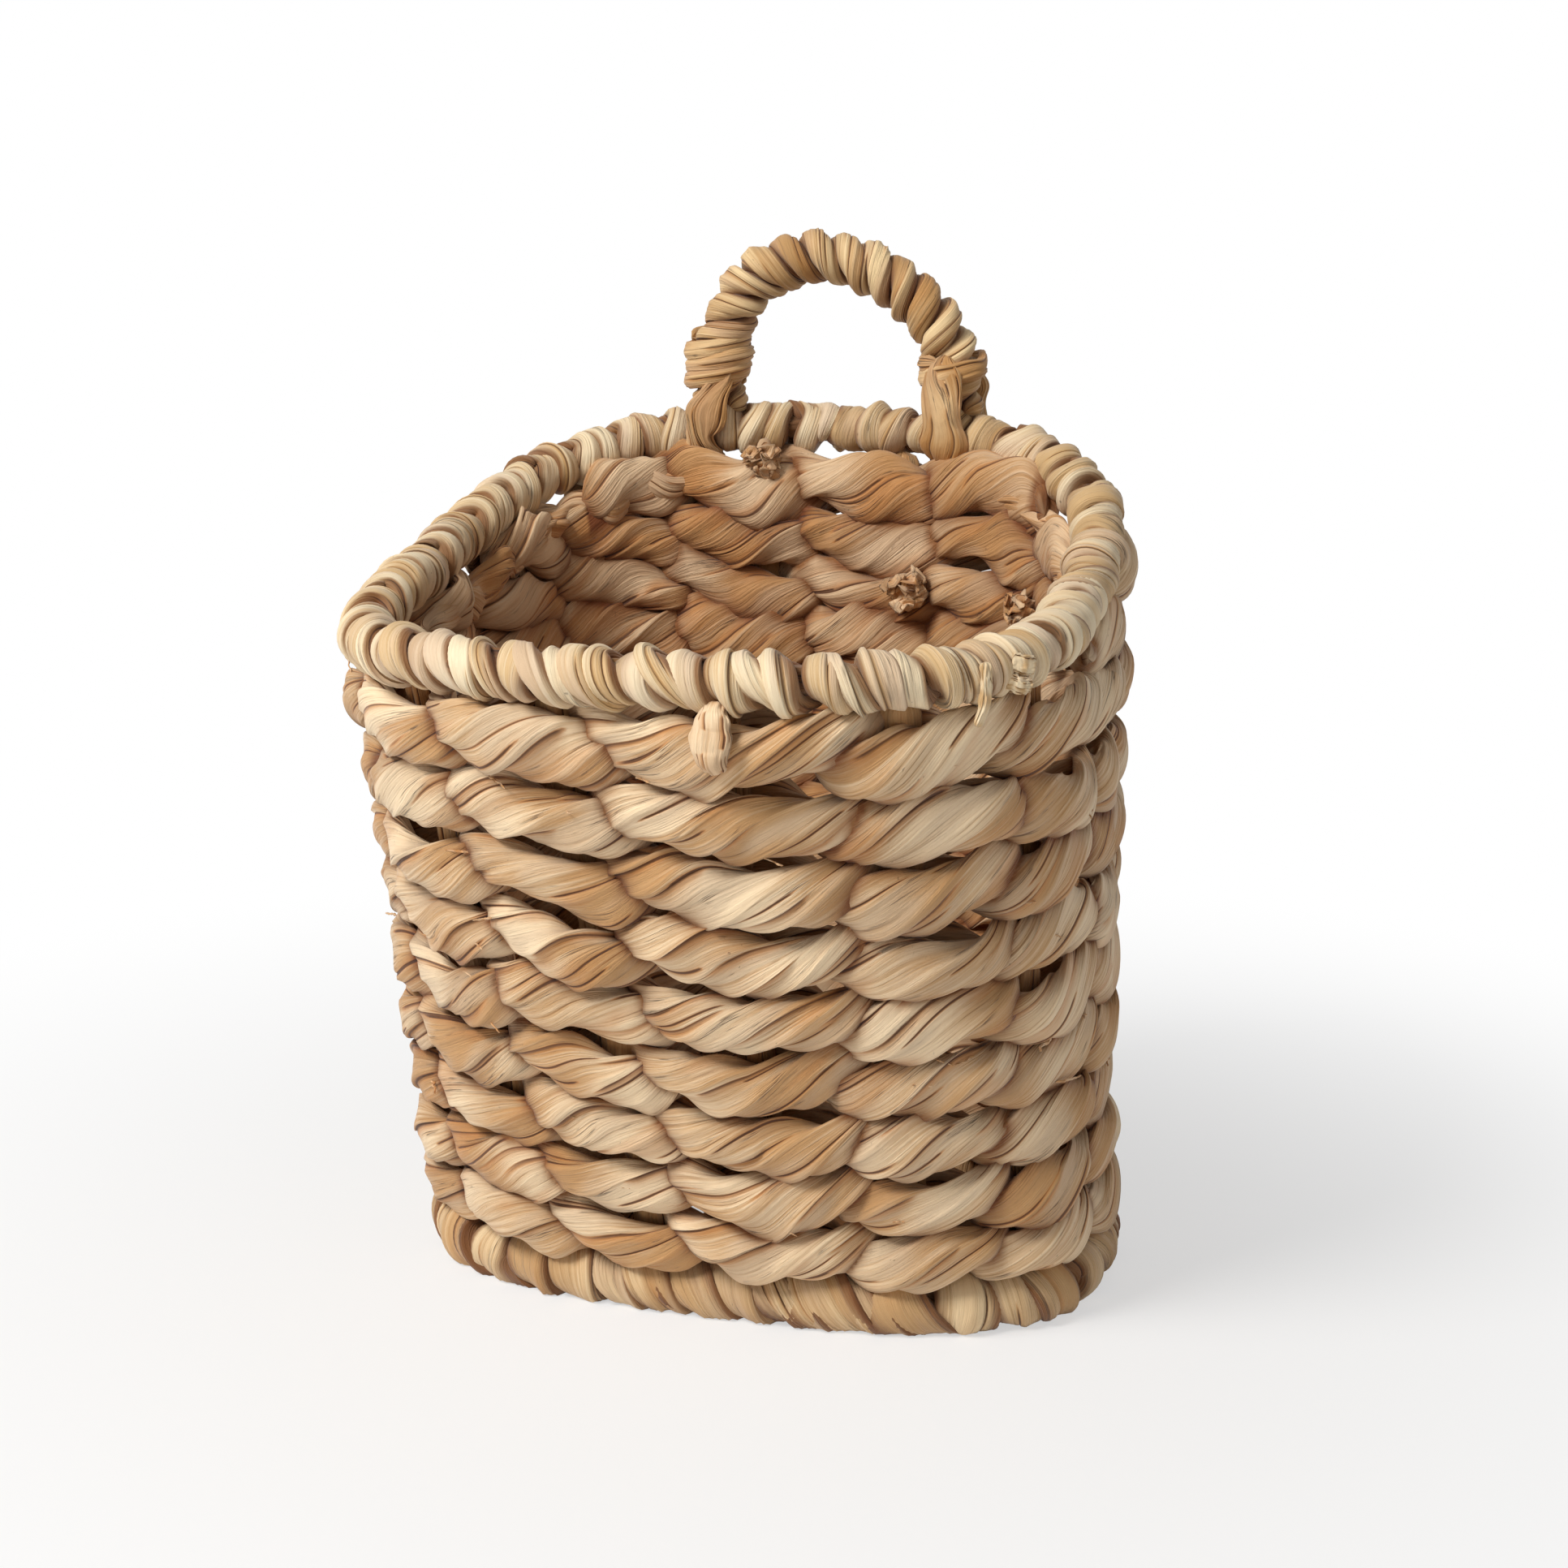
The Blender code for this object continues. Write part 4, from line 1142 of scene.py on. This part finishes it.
SLING_REACH = 0.0098
SLING_HALF_THICK = 0.0019
WHIPPING_HALF_THICK = 0.0018
WHIPPING_RADIUS = 0.0098


def strap(
    name, route, breadth_axis, half_wide, half_thick, material, nodes, seed, rings=120,
    crumple=1.0, ends_at=0.16, warmth=0.35,
):
    """A flat leaf strap along a route of a few points, smoothed, with tapered ends."""
    rng = np.random.default_rng(seed)
    route = np.array(route, float)
    knots = travelled(route)
    share = np.linspace(0.0, 1.0, rings)
    at = share * knots[-1]
    centre = np.stack([np.interp(at, knots, route[:, k]) for k in range(3)], axis=-1)
    for _ in range(10):
        centre[1:-1] = (centre[:-2] + 2.0 * centre[1:-1] + centre[2:]) / 4.0
    travel = unit(np.gradient(centre, axis=0))
    breadth = np.array(breadth_axis, float)
    if breadth.ndim == 1:
        breadth = np.broadcast_to(breadth, centre.shape)
    side = unit(np.cross(travel, breadth))
    up = unit(np.cross(side, travel))
    ends = smooth_step(0.0, ends_at, np.minimum(share, 1.0 - share))
    uneven = 1.0 + 0.14 * crumple * wobble(rng, 2, 6, share)
    wide = half_wide * (0.62 + 0.38 * ends) * uneven
    roll = leaf_roll(
        rng, centre, side, up, half_thick, wide, twist=0.0, edges=4,
        edge_height=0.0004 + 0.0004 * crumple, flats=0.5 * crumple, wander=0.5 * crumple,
        count=34, creases=7, crease_depth=0.0006 * crumple, seed=float(seed), square=0.85,
        twist_start=0.4, warmth=warmth,
    )
    place(name, taper(roll, centre, TIP_RINGS + 6.0 * crumple), material, nodes)


def lashing_route(x, top_shift, foot_shift, leg_top):
    """A sling under the rim whose two legs go up the rope and tuck in against it."""
    centre, tangent, outward, upward = [v[0] for v in rim_frames(np.array([rim_share_at(x)]))]
    top = centre + tangent * top_shift
    middle = centre + tangent * (0.5 * top_shift + 0.5 * foot_shift)
    low = centre + tangent * foot_shift
    leg = (
        (top, 0.0075, leg_top + 0.003), (top, 0.0096, leg_top - 0.003), (middle, 0.0112, 0.009),
    )
    route = [at - outward * away + upward * rise for at, away, rise in leg]
    for degrees in range(180, 361, 15):
        angle = math.radians(degrees)
        across = outward * (SLING_REACH * math.cos(angle))
        route.append(low + across + upward * (SLING_REACH * math.sin(angle)))
    route += [at + outward * away + upward * rise for at, away, rise in reversed(leg)]
    return route, tangent


for side_name, x, shifts, leg_top, half_wide, seed in (
    ("left", -HANDLE_HALF_SPAN, (-0.0040, 0.0050), 0.022, 0.0060, 500),
    ("right", HANDLE_HALF_SPAN, (0.0010, -0.0015), 0.024, 0.0070, 501),
):
    route, tangent = lashing_route(x, shifts[0], shifts[1], leg_top)
    strap(
        "strap_" + side_name, route, tangent, half_wide, SLING_HALF_THICK, HANDLE,
        ["handle_lashing_" + side_name], seed,
    )


def whipping(name, x, low, high, turns, radius, wide, seed):
    """Turns of a flat leaf round both plies at the foot of the rope."""
    rng = np.random.default_rng(seed)
    rings = int(turns * 40)
    share = np.linspace(0.0, 1.0, rings)
    angle = 2.0 * np.pi * turns * share + 0.6
    height = low + (high - low) * share + 0.0012 * np.sin(angle + 0.8)
    centre = np.stack([np.full(rings, x), np.full(rings, HANDLE_BACK_Y), height], axis=-1)
    away = np.stack([np.cos(angle), np.sin(angle), np.zeros(rings)], axis=-1)
    swell = radius * (1.0 + 0.04 * wobble(rng, 2, 8, share))
    middle = centre + away * swell[:, None]
    travel = unit(np.gradient(middle, axis=0))
    up = unit(np.cross(away, travel))
    roll = leaf_roll(
        rng, middle, away, up, WHIPPING_HALF_THICK,
        wide * (1.0 + 0.15 * wobble(rng, 2, 9, share)),
        twist=0.0, edges=3, edge_height=0.0006, flats=0.4, wander=0.3, count=28, warmth=0.25,
        seed=float(seed), square=0.8,
    )
    place(name, taper(roll, middle, 8.0), HANDLE)


LEFT_FOOT_X = HANDLE_CENTRE_X - HANDLE_HALF_SPAN - 0.0006
RIGHT_FOOT_X = HANDLE_CENTRE_X + HANDLE_HALF_SPAN
whipping("whipping_left", LEFT_FOOT_X, 0.2810, 0.2975, 3.4, WHIPPING_RADIUS, 0.0031, 510)
whipping("whipping_right", RIGHT_FOOT_X, 0.2840, 0.2905, 1.6, WHIPPING_RADIUS, 0.0034, 511)


# Floor: flat strands over and under short rods

FLOOR_ROD_COUNT = 4
FLOOR_ROD_SPACING = 0.0400
FLOOR_ROD_HEIGHT = 0.0088
FLOOR_ROD_RADIUS = 0.0026
FLOOR_WEFT_COUNT = 4
FLOOR_ROD_RINGS = 60
FLOOR_LEAF_RINGS = 130
FLOOR_SWING = 0.0048
FLOOR_LEAF_HALF_THICK = 0.0019
FLOOR_TIP_RINGS = 30.0

for index in range(FLOOR_ROD_COUNT):
    rng = np.random.default_rng(600 + index)
    node = "floor_rod_%d" % (index + 1)
    low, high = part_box(node)
    x = (low.x + high.x) / 2.0
    y = np.linspace(low.y, high.y, FLOOR_ROD_RINGS)
    centre = np.stack([np.full_like(y, x), y, np.full_like(y, FLOOR_ROD_HEIGHT)], axis=-1)
    side = np.tile(UP, (FLOOR_ROD_RINGS, 1))
    up = np.tile([1.0, 0.0, 0.0], (FLOOR_ROD_RINGS, 1))
    roll = leaf_roll(
        rng, centre, side, up, FLOOR_ROD_RADIUS, FLOOR_ROD_RADIUS, twist=20.0, edges=2,
        edge_height=0.0003, flats=0.4, rib=0.0001, count=20, seed=41.0 + index,
    )
    place("floor_stem_%d" % (index + 1), taper(roll, centre), CORE, [node])

for index in range(FLOOR_WEFT_COUNT):
    rng = np.random.default_rng(620 + index)
    node = "floor_strand_%d" % (index + 1)
    low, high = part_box(node)
    x = np.linspace(low.x, high.x, FLOOR_LEAF_RINGS)
    sign = 1.0 if index % 2 else -1.0
    wave = sign * np.cos(np.pi * (x / FLOOR_ROD_SPACING - 0.5))
    y = np.full_like(x, (low.y + high.y) / 2.0)
    centre = np.stack([x, y, FLOOR_ROD_HEIGHT + FLOOR_SWING * wave], axis=-1)
    travel = unit(np.gradient(centre, axis=0))
    up = np.tile([0.0, 1.0, 0.0], (FLOOR_LEAF_RINGS, 1))
    side = unit(np.cross(travel, up))
    ring = np.arange(FLOOR_LEAF_RINGS)
    run = np.minimum(ring, ring[::-1]) / FLOOR_TIP_RINGS
    wide = (high.y - low.y) / 2.0 * (0.75 + 0.25 * smooth_step(0.0, 1.0, run))
    roll = leaf_roll(
        rng, centre, side, up, FLOOR_LEAF_HALF_THICK, wide, twist=0.0, edges=4,
        edge_height=0.0004, flats=0.2, wander=0.0, count=34, seed=51.0 + index, square=0.8,
        warmth=0.25,
    )
    place("floor_leaf_%d" % (index + 1), taper(roll, centre), FLOOR, [node])


# The folded strand end that lies over the top row at one front stake

FOLD_STAKE = 11
FOLD_HALF_WIDE = 0.0054
FOLD_HALF_THICK = 0.0025
fold_share = np.array([FOLD_STAKE / STAKE_COUNT])
fold_centre, fold_tangent, fold_out, _ = [v[0] for v in rim_frames(fold_share)]
fold_route = []
FOLD_STEPS = ((0.005, 0.0040), (0.010, 0.0070), (0.015, 0.0086), (0.020, 0.0080), (0.023, 0.0040))
for drop, away in FOLD_STEPS:
    fold_route.append(fold_centre + fold_out * away - UP * drop)
strap(
    "folded_over_end", fold_route, fold_tangent, FOLD_HALF_WIDE, FOLD_HALF_THICK, WEAVER,
    ["folded_end"], 520, 60, crumple=0.3, ends_at=0.5, warmth=0.1,
)


# Cut ends of the rim's leaf at the right front: one hangs down, two stick out of the winding

CUT_END_HALF_THICK = 0.0008

for name, share, half_wide, seed, steps in (
    ("hanging_rim_end", 0.884, 0.0017, 530, (
        (0.0, 0.0085, 0.004), (-0.0005, 0.0100, -0.003), (-0.0012, 0.0098, -0.008),
        (-0.0026, 0.0088, -0.0135),
    )),
    ("cut_rim_end_1", 0.898, 0.0026, 531, (
        (0.0, 0.0070, 0.002), (0.003, 0.0092, 0.001), (0.0065, 0.0100, 0.0),
    )),
    ("cut_rim_end_2", 0.896, 0.0022, 532, (
        (0.0, 0.0070, -0.003), (0.003, 0.0090, -0.0045), (0.007, 0.0095, -0.005),
    )),
):
    end_centre, end_tangent, end_out, _ = [v[0] for v in rim_frames(np.array([share]))]
    route = []
    for ahead, away, rise in steps:
        route.append(end_centre + end_tangent * ahead + end_out * away + UP * rise)
    across = end_tangent if name.startswith("hanging") else UP
    strap(
        name, route, across, half_wide, CUT_END_HALF_THICK, RIM, [], seed, 50,
        crumple=0.12, ends_at=0.02, warmth=0.05,
    )


# Loose ends: crumpled bits of leaf inside, and thin fibres that stand off the strands

LOOSE_RINGS = 26
LOOSE_HALF_THICK = 0.0007
SPOT_STEP = 0.003


def loose_leaf(name, start, heading, normal, length, half_wide, curl, rng):
    """A short torn bit of leaf that curls away from where it is held."""
    share = np.linspace(0.0, 1.0, LOOSE_RINGS)
    heading = unit(np.array(heading, float))
    normal = unit(np.array(normal, float))
    bend = curl * share ** 1.5 + 0.35 * wobble(rng, 1, 4, share)
    step = heading[None, :] * np.cos(bend)[:, None] + normal[None, :] * np.sin(bend)[:, None]
    centre = np.array(start, float) + np.cumsum(step, axis=0) * length / LOOSE_RINGS
    sideways = unit(np.cross(heading, normal))
    lean = 0.9 * wobble(rng, 1, 3, share) + 1.2 * share * rng.uniform(-1.0, 1.0)
    across = unit(np.cross(step, np.broadcast_to(sideways, step.shape)))
    up = sideways[None, :] * np.cos(lean)[:, None] + across * np.sin(lean)[:, None]
    side = unit(np.cross(up, step))
    wide = half_wide * (1.0 - 0.55 * share) * (1.0 + 0.2 * wobble(rng, 2, 8, share))
    thin = min(LOOSE_HALF_THICK, half_wide * 0.6)
    roll = leaf_roll(
        rng, centre, side, up, thin, wide, twist=0.0, edges=2, edge_height=thin * 0.4, flats=0.3,
        wander=0.0, rib=thin * 0.15, creases=2, crease_depth=thin * 0.3, count=18,
        seed=float(rng.uniform(0.0, 90.0)), warmth=0.30, square=0.8,
    )
    place(name, taper(roll, centre), WEAVER)


def wall_spot(share, height):
    """One point of the wall's middle surface and the way along it there."""
    point, ahead = wall_point(np.array([share, share + SPOT_STEP]), np.array([height, height]))
    return point, unit(ahead - point)


def tuft(name, share, height, inward, count, size, seed):
    """A few crumpled bits held at one place on the wall's inner face."""
    rng = np.random.default_rng(seed)
    root, ahead = wall_spot(share, height)
    inner = unit(np.cross(UP, ahead))
    for index in range(count):
        angle = rng.uniform(0.0, 2.0 * math.pi)
        heading = ahead * math.cos(angle) + UP * math.sin(angle) + inner * 0.5
        start = root + inner * inward + ahead * rng.uniform(-0.3, 0.3) * size
        loose_leaf(
            "%s_%d" % (name, index + 1), start, heading, inner, size * rng.uniform(0.7, 1.2),
            rng.uniform(0.0050, 0.0070), rng.uniform(0.6, 1.5), rng,
        )


TUFTS = (
    (0.205, 0.214, 0.0120, 4, 0.0095), (0.120, 0.212, 0.0115, 3, 0.0080),
    (0.515, 0.199, 0.0110, 3, 0.0080), (0.285, 0.255, 0.0100, 4, 0.0080),
)
for index, (share, height, inward, count, size) in enumerate(TUFTS):
    tuft("crumpled_end_%d" % (index + 1), share, height, inward, count, size, 800 + index)

FIBRE_COUNT = 46
FIBRE_SHARES = (0.44, 1.02)
FIBRE_HEIGHTS = (0.028, 0.205)
rng = np.random.default_rng(850)
for index in range(FIBRE_COUNT):
    share = rng.uniform(*FIBRE_SHARES)
    height = rng.uniform(*FIBRE_HEIGHTS)
    root, ahead = wall_spot(share, height)
    outer = unit(np.cross(ahead, UP))
    heading = ahead * rng.choice([-1.0, 1.0]) + UP * rng.uniform(-0.5, 0.5)
    loose_leaf(
        "loose_fibre_%02d" % (index + 1), root + outer * rng.uniform(0.0090, 0.0108),
        heading + 0.2 * outer, outer, rng.uniform(0.006, 0.014), rng.uniform(0.00022, 0.0005),
        rng.uniform(-0.5, 0.3), rng,
    )


# Floor of the scene, light and camera

FLOOR_COLOUR = (0.86, 0.86, 0.86, 1.0)
FLOOR_WARM = (0.88, 0.875, 0.87, 1.0)
SHADOW_START = 0.12
SHADOW_REACH = 0.55
LEAST_GLOW = 0.55
FLOOR_HALF_SIZE = 12.0
FLOOR_DROP = 0.0002
WHITE = (1.0, 1.0, 1.0, 1.0)
SKY_LIGHT = 0.27
LIGHT_TARGET = (0.0, 0.0, 0.15)


def seen_directly(tree):
    """1 for rays from the camera, from a mirror or through a clear surface, else 0."""
    path = add(tree, "ShaderNodeLightPath")
    seen = maths(tree, "MAXIMUM", path.outputs["Is Camera Ray"], path.outputs["Is Glossy Ray"])
    return maths(tree, "MAXIMUM", seen, path.outputs["Is Transmission Ray"])


def stage_material():
    """A pale floor that keeps the shadow near the basket and fades to plain white round it."""
    material = bpy.data.materials.new("studio floor")
    material.use_nodes = True
    tree = material.node_tree
    shader = tree.nodes["Principled BSDF"]
    where = add(tree, "ShaderNodeTexCoord").outputs["Object"]
    grain = add(tree, "ShaderNodeTexNoise", {"Vector": where, "Scale": 3.0})
    shade = blend(tree, grain.outputs["Fac"], FLOOR_COLOUR, FLOOR_WARM)
    tree.links.new(shade, shader.inputs["Base Color"])
    shader.inputs["Roughness"].default_value = 0.9
    white = add(tree, "ShaderNodeEmission", {"Color": WHITE, "Strength": 1.0})
    distance = add(tree, "ShaderNodeVectorMath", {0: where}, operation="LENGTH").outputs["Value"]
    far = stretch(tree, distance, SHADOW_START, SHADOW_REACH, LEAST_GLOW, 1.0)
    share = maths(tree, "MULTIPLY", seen_directly(tree), far)
    mixed = add(
        tree, "ShaderNodeMixShader", {0: share, 1: shader.outputs["BSDF"], 2: white.outputs[0]}
    )
    tree.links.new(mixed.outputs[0], tree.nodes["Material Output"].inputs["Surface"])
    return material


def make_floor():
    size = FLOOR_HALF_SIZE
    mesh = bpy.data.meshes.new("studio_floor")
    mesh.from_pydata(
        [(-size, -size, 0.0), (size, -size, 0.0), (size, size, 0.0), (-size, size, 0.0)],
        [], [(0, 1, 2, 3)],
    )
    mesh.materials.append(stage_material())
    floor = add_object("studio_floor", mesh)
    floor.location.z = -FLOOR_DROP


def area_light(name, position, size, power, colour):
    lamp = bpy.data.lights.new(name, "AREA")
    lamp.shape = "DISK"
    lamp.size = size
    lamp.energy = power
    lamp.color = colour
    holder = add_object(name, lamp)
    holder.location = position
    aim = Vector(LIGHT_TARGET) - Vector(position)
    holder.rotation_euler = aim.to_track_quat("-Z", "Y").to_euler()


def make_world():
    world = bpy.data.worlds.new("studio")
    bpy.context.scene.world = world
    world.use_nodes = True
    tree = world.node_tree
    light = tree.nodes["Background"]
    light.inputs["Color"].default_value = WHITE
    light.inputs["Strength"].default_value = SKY_LIGHT
    plain = add(tree, "ShaderNodeBackground", {"Color": WHITE, "Strength": 1.0})
    inputs = {0: seen_directly(tree), 1: light.outputs[0], 2: plain.outputs[0]}
    mixed = add(tree, "ShaderNodeMixShader", inputs)
    tree.links.new(mixed.outputs[0], tree.nodes["World Output"].inputs["Surface"])


CAMERA_PLACE = Vector((0.2360, -0.7667, 0.3413))
CAMERA_AZIMUTH = math.radians(16.257)
CAMERA_ELEVATION = math.radians(12.463)
CAMERA_LENS = 60.3


def make_camera():
    camera = bpy.data.cameras.new("photo_camera")
    camera.lens = CAMERA_LENS
    camera.sensor_width = 36.0
    camera.clip_start = 0.01
    camera.clip_end = 60.0
    holder = add_object("photo_camera", camera)
    holder.location = CAMERA_PLACE
    level = math.cos(CAMERA_ELEVATION)
    aim = Vector((
        -math.sin(CAMERA_AZIMUTH) * level, math.cos(CAMERA_AZIMUTH) * level,
        -math.sin(CAMERA_ELEVATION),
    ))
    holder.rotation_euler = aim.to_track_quat("-Z", "Y").to_euler()
    bpy.context.scene.camera = holder


make_floor()
make_world()
area_light("key", (-0.85, -1.25, 1.6), 0.8, 39.5, (1.0, 0.985, 0.955))
area_light("fill", (1.5, -0.9, 0.7), 1.2, 0.7, (0.97, 0.98, 1.0))
make_camera()
bpy.context.scene.view_settings.view_transform = "Standard"
